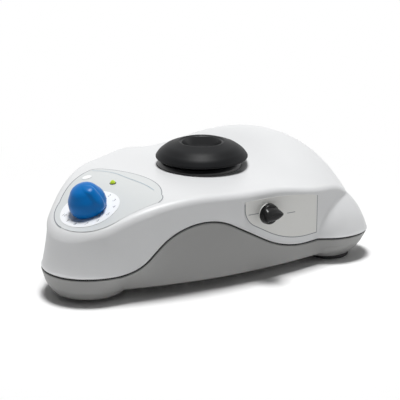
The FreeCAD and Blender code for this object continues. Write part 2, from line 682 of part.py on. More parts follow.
def make_side_film():
    """The printed film round the mode switch, its lower edge kept parallel to the seam."""
    front, rear = v.side_film_front_y, v.side_film_rear_y
    corners = [Vector(0, front, 0), Vector(0, rear, 0), Vector(0, rear, v.side_film_rear_z)]
    corners.append(Vector(0, front, v.side_film_front_z))
    edges = [Part.makeLine(corners[0], corners[1]), Part.makeLine(corners[1], corners[2])]
    crown = Vector(0, (front + rear) / 2, v.side_film_mid_z)
    edges += [Part.Arc(corners[2], crown, corners[3]).toShape(), Part.makeLine(corners[3], corners[0])]
    window = Part.Face(Part.Wire(edges)).extrude(Vector(v.reach, 0, 0))
    skin = prism(plan_outline(-v.film), 0, v.reach).cut(prism(plan_outline(0), 0, v.reach))
    film = skin.common(window).common(above_seam(v.side_film_lift))
    return film.cut(column(v.mode_bush_radius + v.film_hole_play, -v.wall, v.wall, frame=MODE))


keep(shaped("top_cover", make_top_cover()))
keep(shaped("base_pan", make_base_pan()))
keep(shaped("seam_gasket", make_gasket()))
keep(shaped("front_film", make_front_film()))
keep(shaped("side_film", make_side_film()))

# Feet and cover screws
foot_outline = [
    (0, 0), (d.foot_radius - d.foot_chamfer, 0), (d.foot_radius, d.foot_chamfer), (d.foot_radius, d.pod_bottom),
    (d.foot_stem_radius, d.pod_bottom), (d.foot_stem_radius, d.pod_bottom + d.foot_stem),
    (0, d.pod_bottom + d.foot_stem),
]
keep(turned("front_foot", foot_outline, (0, d.nose_pod_y, 0)))
keep(turned("right_foot", foot_outline, (d.rear_foot_x, d.rear_foot_y, 0)))
keep(turned("left_foot", foot_outline, (-d.rear_foot_x, d.rear_foot_y, 0)))
head_z = d.floor_bottom + d.screw_sink - d.screw_head_height
cover_screws = []
for i, (x, y) in enumerate(screw_places):
    shank = d.boss_split_z + d.screw_bite - d.floor_bottom - d.screw_sink
    cover_screws.append(fused(f"cover_screw_{i}", [
        cylinder(f"cover_screw_head_{i}", d.screw_head_radius, d.screw_head_height, (x, y, head_z)),
        cylinder(f"cover_screw_shank_{i}", d.screw_radius, shank, (x, y, d.floor_bottom + d.screw_sink)),
    ]))
keep(grouped("cover_screws", cover_screws))


# Speed control


def make_speed_knob():
    """An egg-shaped knob with a low pointer ridge down one side, hollow underneath round its stem."""
    grown = [turned(f"knob_form_{i}", knob_outline(d.knob_ridge * i)) for i in range(2)]
    doc.recompute()
    dome, larger = (item.Shape for item in grown)
    width = v.knob_ridge_width
    bar = Part.makeBox(v.knob_radius * 2, width, v.knob_height * 2, Vector(width, -width / 2, v.knob_gap))
    solid = dome.fuse(larger.common(bar))
    hollow = column(v.knob_hollow_radius, v.knob_gap, v.knob_hollow).cut(
        column(v.knob_stem_radius, v.knob_stem_gap, v.knob_hollow))
    solid = solid.cut([hollow, column(v.shaft_radius, 0, v.shaft_top)]).removeSplitter()
    for item in grown:
        item.removeObjectsFromDocument()
        doc.removeObject(item.Name)
    return solid


def knob_outline(grow):
    """Half the knob's section: a short skirt, a long side arc and a top arc centred on the axis."""
    waist = d.knob_waist_radius + grow
    top_arc = (waist * waist + d.knob_waist_drop * d.knob_waist_drop) / (d.knob_waist_drop * 2)
    return [
        (0, d.knob_gap), (d.knob_radius + grow, d.knob_gap),
        (d.knob_radius + grow, d.knob_skirt, d.knob_side_arc + grow),
        (waist, d.knob_height - d.knob_waist_drop + grow, top_arc), (0, d.knob_height + grow),
    ]


keep(shaped("speed_knob", make_speed_knob(), KNOB))
pot_top = -d.pot_top
pot_outline = [
    (0, pot_top - d.pot_height), (d.pot_radius, pot_top - d.pot_height), (d.pot_radius, pot_top),
    (d.pot_shoulder_radius, pot_top), (d.pot_shoulder_radius, -(d.wall + d.hole_play * 2)),
    (d.bush_radius, -(d.wall + d.hole_play * 2)), (d.bush_radius, d.bush_top),
    (d.shaft_radius + d.shaft_play, d.bush_top), (d.shaft_radius + d.shaft_play, -d.shaft_foot),
    (0, -d.shaft_foot),
]
keep(turned("speed_pot_body", pot_outline, frame=KNOB))
keep(cylinder("speed_pot_shaft", d.shaft_radius, d.shaft_top + d.shaft_foot, (0, 0, -d.shaft_foot), KNOB))
keep(cut("speed_pot_nut", hexagon("pot_hex", d.nut_radius, d.nut_height, (0, 0, d.film), KNOB), [
    cylinder("pot_nut_bore", d.bush_radius, d.nut_height, (0, 0, d.film), KNOB)]))

# Power lamp: a round lens in a sleeve under the deck
lens_outline = [
    (0, -d.led_depth), (d.led_radius, -d.led_depth), (d.led_radius, d.led_rise, d.led_radius),
    (0, d.led_rise + d.led_radius),
]
keep(turned("power_led", lens_outline, frame=LED))
sleeve_top = -(d.wall + d.hole_play * 2)
sleeve_outline = [
    (d.led_radius, -d.led_depth), (d.led_collar, -d.led_depth), (d.led_collar, sleeve_top),
    (d.led_radius, sleeve_top),
]
keep(turned("led_holder", sleeve_outline, frame=LED))


# Mode switch


def teardrop(round_radius, tip, height):
    """A bar's outline with a round front end and a blunt tip, at a height above the wall."""
    back = tip * 0.8
    nib = round_radius * 0.35
    points = [
        Vector(-back + round_radius, round_radius, height), Vector(-back, 0, height),
        Vector(-back + round_radius, -round_radius, height), Vector(tip - nib, -nib, height),
        Vector(tip, 0, height), Vector(tip - nib, nib, height),
    ]
    edges = [Part.Arc(*points[:3]).toShape(), Part.makeLine(points[2], points[3])]
    edges += [Part.Arc(*points[3:]).toShape(), Part.makeLine(points[5], points[0])]
    return Part.Wire(edges)


def make_mode_knob():
    """A round skirt with a tapered pointer bar across it, hollow under the skirt."""
    start = v.film + v.mode_nut_height + v.mode_gap
    skirt = Part.makeCone(v.mode_radius, v.mode_radius - v.film * 2, v.mode_skirt - start)
    skirt.translate(Vector(0, 0, start))
    low = teardrop(v.mode_fin, v.mode_tip, v.mode_skirt - v.mode_gap)
    bar = Part.makeLoft([low, teardrop(v.mode_fin_top, v.mode_tip, v.mode_top)], True, True)
    hollow = column(v.mode_hollow_radius, start, v.mode_hollow)
    return skirt.fuse(bar).cut([hollow, column(v.mode_shaft_radius, 0, v.mode_shaft_top)]).removeSplitter()


keep(shaped("mode_knob", make_mode_knob(), MODE))
box_top = -(d.wall + d.mode_box_gap)
mode_case = block("mode_case", (d.mode_box, d.mode_box, d.mode_box_depth),
                  (-d.mode_box / 2, -d.mode_box / 2, box_top - d.mode_box_depth), MODE)
mode_bush = cylinder("mode_bush", d.mode_bush_radius, d.mode_bush_top - box_top, (0, 0, box_top), MODE)
mode_bore = cylinder("mode_bore", d.mode_shaft_radius + d.shaft_play, d.mode_shaft_foot + d.mode_shaft_top,
                     (0, 0, -d.mode_shaft_foot), MODE)
keep(cut("mode_switch_body", fused("mode_case_and_bush", [mode_case, mode_bush]), [mode_bore]))
keep(cylinder("mode_switch_shaft", d.mode_shaft_radius, d.mode_shaft_foot + d.mode_shaft_top,
              (0, 0, -d.mode_shaft_foot), MODE))
mode_ring = cylinder("mode_ring", d.mode_nut_radius, d.mode_nut_height, (0, 0, d.film), MODE)
keep(cut("mode_switch_nut", mode_ring, [
    cylinder("mode_nut_bore", d.mode_bush_radius, d.mode_nut_height, (0, 0, d.film), MODE)]))

# Head: the cup on its hub, on the eccentric axis, and the collar in the deck
motor_axis = (0, d.head_y, 0)
head_axis = (d.orbit, d.head_y, 0)
keep(turned("cup_head", [
    (0, stem_z), (d.stem_radius, stem_z), (d.stem_radius, cup_z), (d.rim_radius - d.rim_tuck, cup_z),
    (d.rim_radius, cup_z + d.rim_rise, d.cup_arc), (d.lip_radius, cup_top - d.lip_drop),
    (d.lip_radius - d.lip_drop * 2, cup_top), (d.dimple_radius, cup_top - d.lip_drop, -d.dimple_arc),
    (d.dimple_floor_radius, cup_top - d.dimple_depth), (0, cup_top - d.dimple_depth - d.lip_drop),
], head_axis))
keep(turned("splash_collar", [
    (d.collar_bore, under_z - d.collar_lip_gap - d.collar_lip_height),
    (d.collar_lip, under_z - d.collar_lip_gap - d.collar_lip_height),
    (d.collar_lip, under_z - d.collar_lip_gap), (d.neck_hole, under_z - d.collar_lip_gap),
    (d.neck_hole, seat_z), (d.collar_radius, seat_z),
    (d.collar_radius, collar_top - d.collar_round, d.collar_round), (d.collar_radius - d.collar_round, collar_top),
    (d.collar_bore + d.collar_round, collar_top), (d.collar_bore, collar_top - d.collar_round),
], motor_axis))
pocket_z = hub_z + d.bearing_width
keep(turned("head_hub", [
    (d.bearing_radius, hub_z), (d.stem_radius, hub_z), (d.stem_radius, stem_z), (0, stem_z),
    (0, pocket_z + d.hub_relief), (d.hub_shoulder, pocket_z + d.hub_relief), (d.hub_shoulder, pocket_z),
    (d.bearing_radius, pocket_z),
], head_axis))


def make_neck_boot():
    """A soft cone from the hub up to the collar's lip: its ends lie on the two axes."""
    top = float(under_z) - v.collar_lip_gap - v.collar_lip_height - v.boot_gap
    walls = []
    for skin in (v.boot_wall, 0):
        low = Part.makeCircle(v.stem_radius + v.boot_gap + skin, Vector(v.orbit, v.head_y, top - v.boot_height))
        high = Part.makeCircle(v.boot_top_radius - v.boot_wall + skin, Vector(0, v.head_y, top))
        walls.append(Part.makeLoft([Part.Wire(low), Part.Wire(high)], True, True))
    return walls[0].cut(walls[1])


keep(shaped("neck_boot", make_neck_boot()))


def ring(label, inner, outer):
    return turned(label, [(inner, hub_z), (outer, hub_z), (outer, pocket_z), (inner, pocket_z)], head_axis)


keep(ring("bearing_outer_ring", d.bearing_outer, d.bearing_radius))
keep(ring("bearing_inner_ring", d.bearing_bore, d.bearing_inner))
balls = []
for i, (x, y) in enumerate(at_angles(DRIVING["ball_count"], (v.bearing_inner + v.bearing_outer) / 2)):
    ball = doc.addObject("Part::Sphere", f"ball_{i}")
    bind(ball, "Radius", d.ball_radius)
    balls.append(place(ball, (d.orbit + x, d.head_y + y, hub_z + d.bearing_width / 2)))
keep(grouped("bearing_balls", balls))

# Crank with its counterweight, eccentric pin and motor shaft
crank_core = cylinder("crank_core", d.crank_radius, d.crank_height, (0, d.head_y, crank_z))
weight = cylinder("crank_weight", d.weight_radius, d.weight_height, (0, d.head_y, crank_z))
weight.Angle = 180
weight.Placement = Placement(weight.Placement.Base, Rotation(Vector(0, 0, 1), 90))
pin_foot = crank_z + d.crank_bore + d.crank_web
pin_length = pocket_z - pin_foot
keep(cut("eccentric_crank", fused("crank_blank", [crank_core, weight]), [
    cylinder("crank_shaft_bore", d.motor_shaft_radius, d.crank_bore, (0, d.head_y, crank_z)),
    cylinder("crank_pin_bore", d.bearing_bore, d.crank_height, (d.orbit, d.head_y, pin_foot)),
]))
keep(cylinder("eccentric_pin", d.bearing_bore, pin_length, (d.orbit, d.head_y, pin_foot)))
shaft_z = motor_z + d.motor_bore_floor
keep(cylinder("motor_shaft", d.motor_shaft_radius, crank_z + d.crank_bore - shaft_z, (0, d.head_y, shaft_z)))

# Motor, hung under the carriage plate
can_z = motor_z + d.motor_cap
bore = d.motor_shaft_radius + d.shaft_play
can_form = turned("motor_can_form", [
    (0, can_z), (d.motor_radius, can_z), (d.motor_radius, plate_z - d.motor_chamfer),
    (d.motor_radius - d.motor_chamfer, plate_z), (d.motor_boss, plate_z),
    (d.motor_boss, plate_z + d.motor_boss_height), (bore, plate_z + d.motor_boss_height), (bore, shaft_z),
    (0, shaft_z),
], motor_axis)
keep(turned("motor_end_cap", [
    (0, motor_z), (d.motor_radius - d.motor_chamfer, motor_z), (d.motor_radius, motor_z + d.motor_chamfer),
    (d.motor_radius, can_z), (0, can_z),
], motor_axis))
motor_screw_places = [(x, y + v.head_y) for x, y in at_angles(3, v.motor_screw_circle)]
screw_foot = plate_top - d.motor_screw_length


def bars(label, places, radius, height, z):
    """Round bars of one size at several places."""
    return [cylinder(f"{label}_{i}", radius, height, (x, y, z)) for i, (x, y) in enumerate(places)]


def screws(label, places, sizes, seat):
    """Pan-head screws: sizes are shank radius, length, head radius and head height; heads sit on the seat."""
    shank_radius, length, head_radius, head_height = sizes
    shanks = bars(label + "_shank", places, shank_radius, length, seat - length)
    heads = bars(label + "_head", places, head_radius, head_height, seat)
    return [fused(f"{label}_{i}", list(pair)) for i, pair in enumerate(zip(shanks, heads))]


motor_screw = (d.motor_screw_radius, d.motor_screw_length, d.motor_screw_head, d.motor_screw_head_height)
keep(cut("motor_can", can_form, bars("can_hole", motor_screw_places, d.motor_screw_radius,
                                     d.motor_screw_length, screw_foot)))
keep(grouped("motor_screws", screws("motor_screw", motor_screw_places, motor_screw, plate_top)))

# Carriage plate with the sensor flag, on three sprung guide posts
plate = cylinder("carriage_disc", d.plate_radius, d.plate_thick, (0, d.head_y, plate_z))
flag_y = d.head_y - d.plate_radius + d.flag_inset
flag = block("carriage_flag", (d.flag_width, d.flag_thick, d.flag_drop + d.plate_thick),
             (-d.flag_width / 2, flag_y, plate_z - d.flag_drop))
window_places = [(x, y + v.head_y) for x, y in at_angles(3, v.window_circle, first=30)]
plate_holes = bars("plate_post_hole", post_places, d.post_radius + d.post_play, d.plate_thick, plate_z)
plate_holes += bars("plate_window", window_places, d.window_radius, d.plate_thick, plate_z)
plate_holes += bars("plate_screw_hole", motor_screw_places, d.motor_screw_radius, d.plate_thick, plate_z)
plate_holes += bars("plate_motor_hole", [(0, v.head_y)], d.motor_boss, d.plate_thick, plate_z)
keep(cut("motor_carriage", fused("carriage_blank", [plate, flag]), plate_holes))
boss_top = floor_z + d.post_boss_height
post_foot = boss_top - d.post_bite
nut_z = plate_top + d.post_nut_gap
keep(grouped("guide_posts", bars("guide_post", post_places, d.post_radius,
                                 plate_top + d.post_rise - post_foot, post_foot)))
post_nuts = []
for i, (x, y) in enumerate(post_places):
    nut = hexagon(f"post_nut_hex_{i}", d.post_nut_radius, d.post_nut_height, (x, y, nut_z))
    hole = cylinder(f"post_nut_bore_{i}", d.post_radius, d.post_nut_height, (x, y, nut_z))
    post_nuts.append(cut(f"post_nut_{i}", nut, [hole]))
keep(grouped("post_nuts", post_nuts))


def make_spring(x, y):
    """One coil spring as a round wire along half-turn arcs of a helix."""
    low = float(boss_top) + v.wire_radius + v.spring_gap
    high = float(plate_z) - v.wire_radius - v.spring_gap
    halves = 2 * round(v.spring_turns)
    points = []
    for i in range(2 * halves + 1):
        turn = math.pi * i / 2
        rise = low + (high - low) * i / (2 * halves)
        points.append(Vector(x + v.spring_radius * math.cos(turn), y + v.spring_radius * math.sin(turn), rise))
    arcs = [Part.Arc(*points[i:i + 3]).toShape() for i in range(0, 2 * halves, 2)]
    path = Part.Wire(arcs)
    start = path.OrderedEdges[0]
    section = Part.Wire(Part.makeCircle(v.wire_radius, points[0], start.tangentAt(start.FirstParameter)))
    return path.makePipeShell([section], True, False)


keep(shaped("suspension_springs", Part.makeCompound([make_spring(*spot) for spot in post_places])))

# Control board with its parts, and the fork that watches the flag
board_top = board_z + d.board_thick
board_screw = (d.board_screw_radius, d.board_screw_bite + d.board_thick, d.board_screw_head,
               d.board_screw_head_height)
board_blank = block("board_blank", (d.board_half * 2, d.board_rear_y - d.board_front_y, d.board_thick),
                    (-d.board_half, d.board_front_y, board_z))
keep(cut("control_board", board_blank, bars("board_hole", board_places, d.board_screw_radius, d.board_thick,
                                            board_z)))
keep(grouped("board_screws", screws("board_screw", board_places, board_screw, board_top)))
fork_depth = d.fork_slot + d.fork_arm * 2
fork_y = flag_y + d.flag_thick / 2 - fork_depth / 2
fork_blank = block("fork_blank", (d.fork_width, fork_depth, d.fork_height), (-d.fork_width / 2, fork_y, board_top))
fork_gap = block("fork_gap", (d.fork_width, d.fork_slot, d.fork_height),
                 (-d.fork_width / 2, fork_y + d.fork_arm, board_top + d.fork_arm))
keep(cut("touch_sensor", fork_blank, [fork_gap]))
board_mid = (d.board_front_y + d.board_rear_y) / 2
keep(grouped("board_components", [
    cylinder("capacitor", 5, 15, (-12, board_mid, board_top)),
    cylinder("small_capacitor", 3, 9, (-4, board_mid - 6, board_top)),
    block("driver_chip", (8, 10, 3), (4, board_mid, board_top)),
    block("heat_sink", (4, 16, 14), (14, board_mid - 4, board_top)),
    block("plug_strip", (16, 6, 8), (-8, d.board_front_y + 5, board_top)),
]))

# Transformer on the base floor
coil_low = floor_z + (d.core_height - d.coil_height) / 2
core_block = block("core_block", (d.core_width, d.core_depth, d.core_height),
                   (d.core_x - d.core_width / 2, d.core_y - d.core_depth / 2, floor_z))
coil_sides = (d.coil_width, d.coil_depth, d.coil_height)
coil_at = (d.core_x - d.coil_width / 2, d.core_y - d.coil_depth / 2, coil_low)
keep(cut("transformer_core", core_block, [block("coil_window", coil_sides, coil_at)]))
keep(block("transformer_coil", coil_sides, coil_at))


# Power inlet in the rear wall


def make_inlet_body():
    """A flanged socket: its mouth has two cut corners, and its floor carries the blades."""
    end = inlet_y + v.inlet_flange
    flange = centred_block(v.inlet_flange_width, v.inlet_flange, v.inlet_flange_height, end, v.inlet_z)
    case = centred_block(v.inlet_width, v.inlet_depth, v.inlet_height, inlet_y, v.inlet_z)
    half, low = v.socket_width / 2, v.inlet_z - v.socket_height / 2
    high, slope = low + v.socket_height, v.socket_corner
    floor = end - v.socket_depth
    outline = [(-half, low), (half, low), (half, high - slope), (half - slope, high), (slope - half, high),
               (-half, high - slope), (-half, low)]
    mouth = Part.Face(Part.makePolygon([Vector(x, floor, z) for x, z in outline]))
    return flange.fuse(case).cut(mouth.extrude(Vector(0, v.socket_depth, 0))).removeSplitter()


def make_blades():
    """Earth in the middle and raised, live and neutral either side."""
    floor = inlet_y + v.inlet_flange - v.socket_depth
    length = v.socket_depth - v.blade_short
    spots = [(0, v.earth_rise), (v.blade_pitch, -v.live_drop), (-v.blade_pitch, -v.live_drop)]
    blades = []
    for x, rise in spots:
        corner = Vector(x - v.blade_width / 2, floor, v.inlet_z + rise - v.blade_height / 2)
        blades.append(Part.makeBox(v.blade_width, length, v.blade_height, corner))
    return Part.makeCompound(blades)


keep(shaped("inlet_body", make_inlet_body()))
keep(shaped("inlet_blades", make_blades()))

# Checks, then one file for each piece
doc.recompute()
for item in doc.Objects:
    if {"Invalid", "Error"} & set(item.State):
        raise RuntimeError(f"{item.Label} failed: {item.State}")
os.makedirs("parts", exist_ok=True)
for item in nodes:
    shape = item.Shape
    if shape.isNull() or not shape.isValid() or not shape.Solids:
        raise RuntimeError(f"{item.Label} has no valid solid")
    shape.exportStep(f"parts/{item.Label}.step")
for label, frame in (("speed knob", KNOB), ("mode knob", MODE)):
    axis = frame.Rotation.multVec(Vector(0, 0, 1))
    print(label, "turns at", tuple(round(x, 4) for x in frame.Base), "about", tuple(round(x, 5) for x in axis))
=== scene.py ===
"""Looks of a bench vortex mixer: moulded cover, cast base, rubber cup, blue speed knob, mode switch.

Lengths are millimetres in the CAD frame until a mesh is made: +Z up, the nose to -Y, the mode knob on +X.
"""
import json
import math
import bmesh
import bpy
import numpy as np
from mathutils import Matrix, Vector


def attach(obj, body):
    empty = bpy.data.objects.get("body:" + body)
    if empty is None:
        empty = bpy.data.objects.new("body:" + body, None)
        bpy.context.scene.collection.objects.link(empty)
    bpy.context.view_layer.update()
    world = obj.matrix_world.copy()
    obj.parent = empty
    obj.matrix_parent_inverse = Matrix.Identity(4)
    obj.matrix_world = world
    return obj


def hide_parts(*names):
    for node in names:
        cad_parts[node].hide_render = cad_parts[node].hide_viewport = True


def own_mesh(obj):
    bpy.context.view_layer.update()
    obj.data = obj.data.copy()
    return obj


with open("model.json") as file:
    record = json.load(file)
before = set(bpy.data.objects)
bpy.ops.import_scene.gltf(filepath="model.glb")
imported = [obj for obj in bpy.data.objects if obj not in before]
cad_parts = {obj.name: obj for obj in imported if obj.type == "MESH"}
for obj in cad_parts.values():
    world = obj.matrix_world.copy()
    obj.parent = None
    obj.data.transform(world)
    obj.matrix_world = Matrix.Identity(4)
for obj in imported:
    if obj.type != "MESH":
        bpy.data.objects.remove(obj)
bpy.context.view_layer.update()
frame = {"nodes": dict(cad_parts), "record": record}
MM = 0.001
TURN = 2 * math.pi
QUARTER = math.pi / 2

# Housing sizes. Most are the solids' own; the rear corner, the crown at station 80 and the collar's seat are
# a little different from them, as the photograph shows them
NOSE, NOSE_RADIUS = np.array([0.0, -70.5]), 32.6
CORNER, CORNER_RADIUS = np.array([66.2, 75.5]), 11.0
SIDE_RADIUS, REAR_Y = 330.0, 110.0
# Stations along the deck: place, height on the middle line, radius of the crown across it
STATIONS = np.array([
    [-106, 43, 160], [-84, 51.1, 3000], [-62, 59.2, 3000], [-40, 62.15, 3700], [-10, 61.1, 1930],
    [20, 60, 1500], [52, 63.5, 250], [80, 73, 114], [112, 58, 63],
])
WALL, FLOOR_Z, FLOOR_TOP, POD_Z = 2.8, 7.0, 10.0, 3.0
# The seam from the side: corners as station and height, and the rounds at the inner ones
SEAM_CORNERS = [(-160, 18.2), (-74.7, 18.2), (-41.5, 55.4), (23.3, 17.6), (160, 17.6)]
SEAM_ROUNDS = [25, 36, 70]
SEAM_REAR_Z = 17.6
GASKET = 1.0
HEAD_Y, ORBIT = 20.7, 2.25
KNOB_Y, LED = -78.7, [-8.0, -50.8]
COLLAR_RADIUS, SEAT_Z, NECK = 28.2, 59.6, 17.0
INLET_Z, INLET_HALF, INLET_ROUND = 34.0, (31.4 / 2, 25.4 / 2), 1.5
# Rows of points up the cover: round the seam edge, up the wall, over the deck's edge, in to the neck
LIP_ROWS, WALL_ROWS, EDGE_ROWS, DECK_ROWS = 5, 56, 12, 46
# Rounds on the two halves' seam edges, outside and inside
OUTER_EDGE, INNER_EDGE = 0.7, 0.1


# Curves


def rounded(points, radii, steps=12):
    """A path of straight runs whose inner corners are tangent arcs.

    Each arc's centre lies on its corner's bisector; its points swing evenly between the two touching points.
    """
    points = np.asarray(points, float)
    path = [points[:1]]
    for before, corner, after, radius in zip(points, points[1:], points[2:], radii):
        into = (before - corner) / np.linalg.norm(before - corner)
        out = (after - corner) / np.linalg.norm(after - corner)
        half = math.acos(np.clip(into @ out, -1, 1)) / 2
        centre = corner + (into + out) / np.linalg.norm(into + out) * radius / math.sin(half)
        start = corner + into * radius / math.tan(half) - centre
        end = corner + out * radius / math.tan(half) - centre
        share = np.linspace(0, 1, steps)[:, None]
        sweep = math.pi - 2 * half
        swung = np.sin((1 - share) * sweep) * start + np.sin(share * sweep) * end
        path.append(centre + swung / math.sin(sweep))
    path.append(points[-1:])
    return np.concatenate(path)


def arc_between(start, end, radius, steps=24):
    """Points on the arc of a radius between two points; a positive radius bulges right of the way."""
    start, end = np.asarray(start, float), np.asarray(end, float)
    chord = end - start
    length = np.linalg.norm(chord)
    right = np.array([chord[1], -chord[0]]) / length
    depth = math.sqrt(radius * radius - length * length / 4)
    centre = (start + end) / 2 - right * math.copysign(depth, radius)
    half = math.asin(length / 2 / abs(radius))
    turn = np.linspace(-half, half, steps)[:, None]
    return centre + right * radius * np.cos(turn) + chord / length * abs(radius) * np.sin(turn)


def arc_through(first, second, third, steps=24):
    """Points on the circle through three points, in plan: the centre is where the two mid-normals cross."""
    first, second, third = (np.asarray(p, float) for p in (first, second, third))
    rows = 2 * np.array([second - first, third - first])
    centre = np.linalg.solve(rows, [second @ second - first @ first, third @ third - first @ first])
    angles = [math.atan2(*(p - centre)[::-1]) for p in (first, second, third)]
    spread = np.unwrap([angles[0], angles[1]])[1] - angles[0]
    total = (angles[2] - angles[0]) % TURN
    if spread < 0:
        total -= TURN
    turn = angles[0] + np.linspace(0, total, steps)
    return centre + np.linalg.norm(first - centre) * np.stack([np.cos(turn), np.sin(turn)], 1)


def ring_points(radius, count=96):
    """Points evenly round a circle about the origin, in plan."""
    turn = np.linspace(0, TURN, count, endpoint=False)
    return radius * np.stack([np.cos(turn), np.sin(turn)], 1)


def spline(xs, ys):
    """A natural cubic spline: second slopes from one linear system, then the usual cubic in each gap."""
    xs, ys = np.asarray(xs), np.asarray(ys)
    gap = np.diff(xs)
    system = np.eye(len(xs))
    right = np.zeros(len(xs))
    for i in range(1, len(xs) - 1):
        system[i, i - 1:i + 2] = gap[i - 1], 2 * (gap[i - 1] + gap[i]), gap[i]
        right[i] = 6 * ((ys[i + 1] - ys[i]) / gap[i] - (ys[i] - ys[i - 1]) / gap[i - 1])
    bend = np.linalg.solve(system, right)

    def value(x):
        i = np.clip(np.searchsorted(xs, x) - 1, 0, len(gap) - 1)
        low, high = xs[i + 1] - x, x - xs[i]
        cubic = (bend[i] * low ** 3 + bend[i + 1] * high ** 3) / (6 * gap[i])
        return cubic + (ys[i] / gap[i] - bend[i] * gap[i] / 6) * low + (
            ys[i + 1] / gap[i] - bend[i + 1] * gap[i] / 6) * high

    return value


# The housing's form


def wrap_centre(first, first_radius, second, second_radius, reach):
    """Centre of the wide arc that wraps two circles from outside, left of the way from first to second."""
    span = second - first
    length = np.linalg.norm(span)
    unit = span / length
    a, b = reach - first_radius, reach - second_radius
    along = (a * a - b * b + length * length) / (2 * length)
    return first + unit * along + np.array([-unit[1], unit[0]]) * math.sqrt(a * a - along * along)


SIDE = wrap_centre(NOSE, NOSE_RADIUS, CORNER, CORNER_RADIUS, SIDE_RADIUS)
TAIL = REAR_Y - CORNER[1] - CORNER_RADIUS
REAR_RADIUS = CORNER_RADIUS + (CORNER[0] ** 2 + TAIL ** 2) / (2 * TAIL)
REAR = np.array([0.0, REAR_Y - REAR_RADIUS])
# Mirrors a plan point to the left half
ACROSS = np.array([-1.0, 1.0])


def plan_outline():
    """Six tangent arcs round the plan, anticlockwise from the nose's left: points and outward normals."""
    a1, a2 = (math.atan2(*(c - SIDE)[::-1]) for c in (NOSE, CORNER))
    a3 = math.atan2(*(CORNER - REAR)[::-1])
    arcs = [
        (NOSE, NOSE_RADIUS, -math.pi - a1, a1, 96), (SIDE, SIDE_RADIUS, a1, a2, 130),
        (CORNER, CORNER_RADIUS, a2, a3, 40), (REAR, REAR_RADIUS, a3, math.pi - a3, 120),
        (CORNER * ACROSS, CORNER_RADIUS, math.pi - a3, math.pi - a2, 40),
        (SIDE * ACROSS, SIDE_RADIUS, math.pi - a2, math.pi - a1, 130),
    ]
    points, normals = [], []
    for centre, radius, start, end, count in arcs:
        turn = np.linspace(start, end, count, endpoint=False)
        normals.append(np.stack([np.cos(turn), np.sin(turn)], 1))
        points.append(centre + radius * normals[-1])
    return np.concatenate(points), np.concatenate(normals)


RIM, RIM_NORMAL = plan_outline()
deck_mid = spline(STATIONS[:, 0], STATIONS[:, 1])
deck_bend = spline(STATIONS[:, 0], 1 / STATIONS[:, 2])
SEAM = rounded(SEAM_CORNERS, SEAM_ROUNDS, 40)


def deck_height(x, y):
    """Deck over a point: the middle line's height less the drop of that station's crown arc."""
    bend = deck_bend(y)
    return deck_mid(y) - x * x * bend / (1 + np.sqrt(np.maximum(1 - (x * bend) ** 2, 0.01)))


def seam_height(y, lift):
    """Seam over a station, lifted square to its own slope."""
    slope = np.gradient(SEAM[:, 1], SEAM[:, 0])
    return np.interp(y, SEAM[:, 0], SEAM[:, 1] + lift * np.sqrt(1 + slope ** 2))


def pod_profile(radius, lean, tuck, crown):
    """A pod's radius over height: a bowl that leans in below the seam, then the crown's own points."""
    bowl = rounded([(radius - tuck, POD_Z), (radius - lean, 9.4), (radius, SEAM_REAR_Z)], [12], 16)
    return np.concatenate([bowl, crown])


NOSE_POD, REAR_POD, REAR_FOOT = np.array([0, -80.8]), np.array([68.7, 78.4]), np.array([66.5, 74.9])
NOSE_FORM = pod_profile(29.2, 2.4, 6.6, arc_between((29.2, 18.2), (20.6, 42), -160))
REAR_FORM = pod_profile(21.3, 2.3, 7.3, arc_between((21.3, 18.1), (3.5, 45), 49.5))
# Pods run softly into the walls: heights, and the width of the blend at each
NOSE_BLEND = [8, 22, 36, 46], [2, 7, 7, 2]
REAR_BLEND = [8, 17, 24, 36, 43], [2, 6, 11, 8, 1]
# Middle at the seam, middle at the foot, profile, how much longer the pod is on its front side, and its blend
PODS = [
    (NOSE_POD, NOSE_POD, NOSE_FORM, 1.0, NOSE_BLEND),
    (REAR_POD, REAR_FOOT, REAR_FORM, 1.25, REAR_BLEND),
    (REAR_POD * ACROSS, REAR_FOOT * ACROSS, REAR_FORM, 1.25, REAR_BLEND),
]
# A pod's ring narrows above its top, by this much of the height
POD_FADE = 0.8
# A slight lip along the cover's seam edge
BEAD, BEAD_HEIGHT = 0.4, 0.9
# The base's draft between the pods: stations, and the depth at its foot
BASE_DRAFT = [-80, -30, 60], [6, 3, 0]
# The deck's edge is rounder at the nose than at the rear corners: stations and radii
EDGE_ROUND = [-60, 0, 72], [5.0, 3.8, 2.0]


def slanted(centre, foot, z):
    """A pod's middle at heights z: its own centre down to the seam, then straight over to the foot."""
    share = np.maximum(SEAM_REAR_Z - z, 0) / (SEAM_REAR_Z - POD_Z)
    return centre + (foot - centre) * share[..., None]


def soft_max(a, b, width):
    """The larger of two, rounded over where they come within the width of each other."""
    near = np.maximum(width - np.abs(a - b), 0) / width
    return np.maximum(a, b) + near * near * width / 4


def wall_points(inset, z, draft=0.0):
    """Wall points at heights z, in rows over the outline.

    The outline is pushed out along its normals to each pod's ring. The draft draws it in between the pods.
    """
    start = RIM - RIM_NORMAL * (inset + np.asarray(draft)[..., None])
    push = np.zeros_like(z)
    for centre, foot, profile, front, (heights, widths) in PODS:
        blend = spline(heights, widths)(np.clip(z, heights[0], heights[-1]))
        reach = slanted(centre, foot, z) - start
        reach[..., 1] /= np.where(reach[..., 1] > 0, front, 1)
        along = (reach * RIM_NORMAL).sum(-1)
        aside = (reach ** 2).sum(-1) - along ** 2
        above = np.maximum(z - profile[-1, 1], 0)
        ring = np.interp(z, profile[:, 1], profile[:, 0]) - inset - POD_FADE * above
        cut = np.sign(ring) * ring ** 2 - aside
        push = soft_max(push, along + np.sign(cut) * np.sqrt(np.abs(cut)), blend)
    x, y = (start[..., i] + RIM_NORMAL[:, i] * push for i in (0, 1))
    return np.stack([x, y, z], -1)


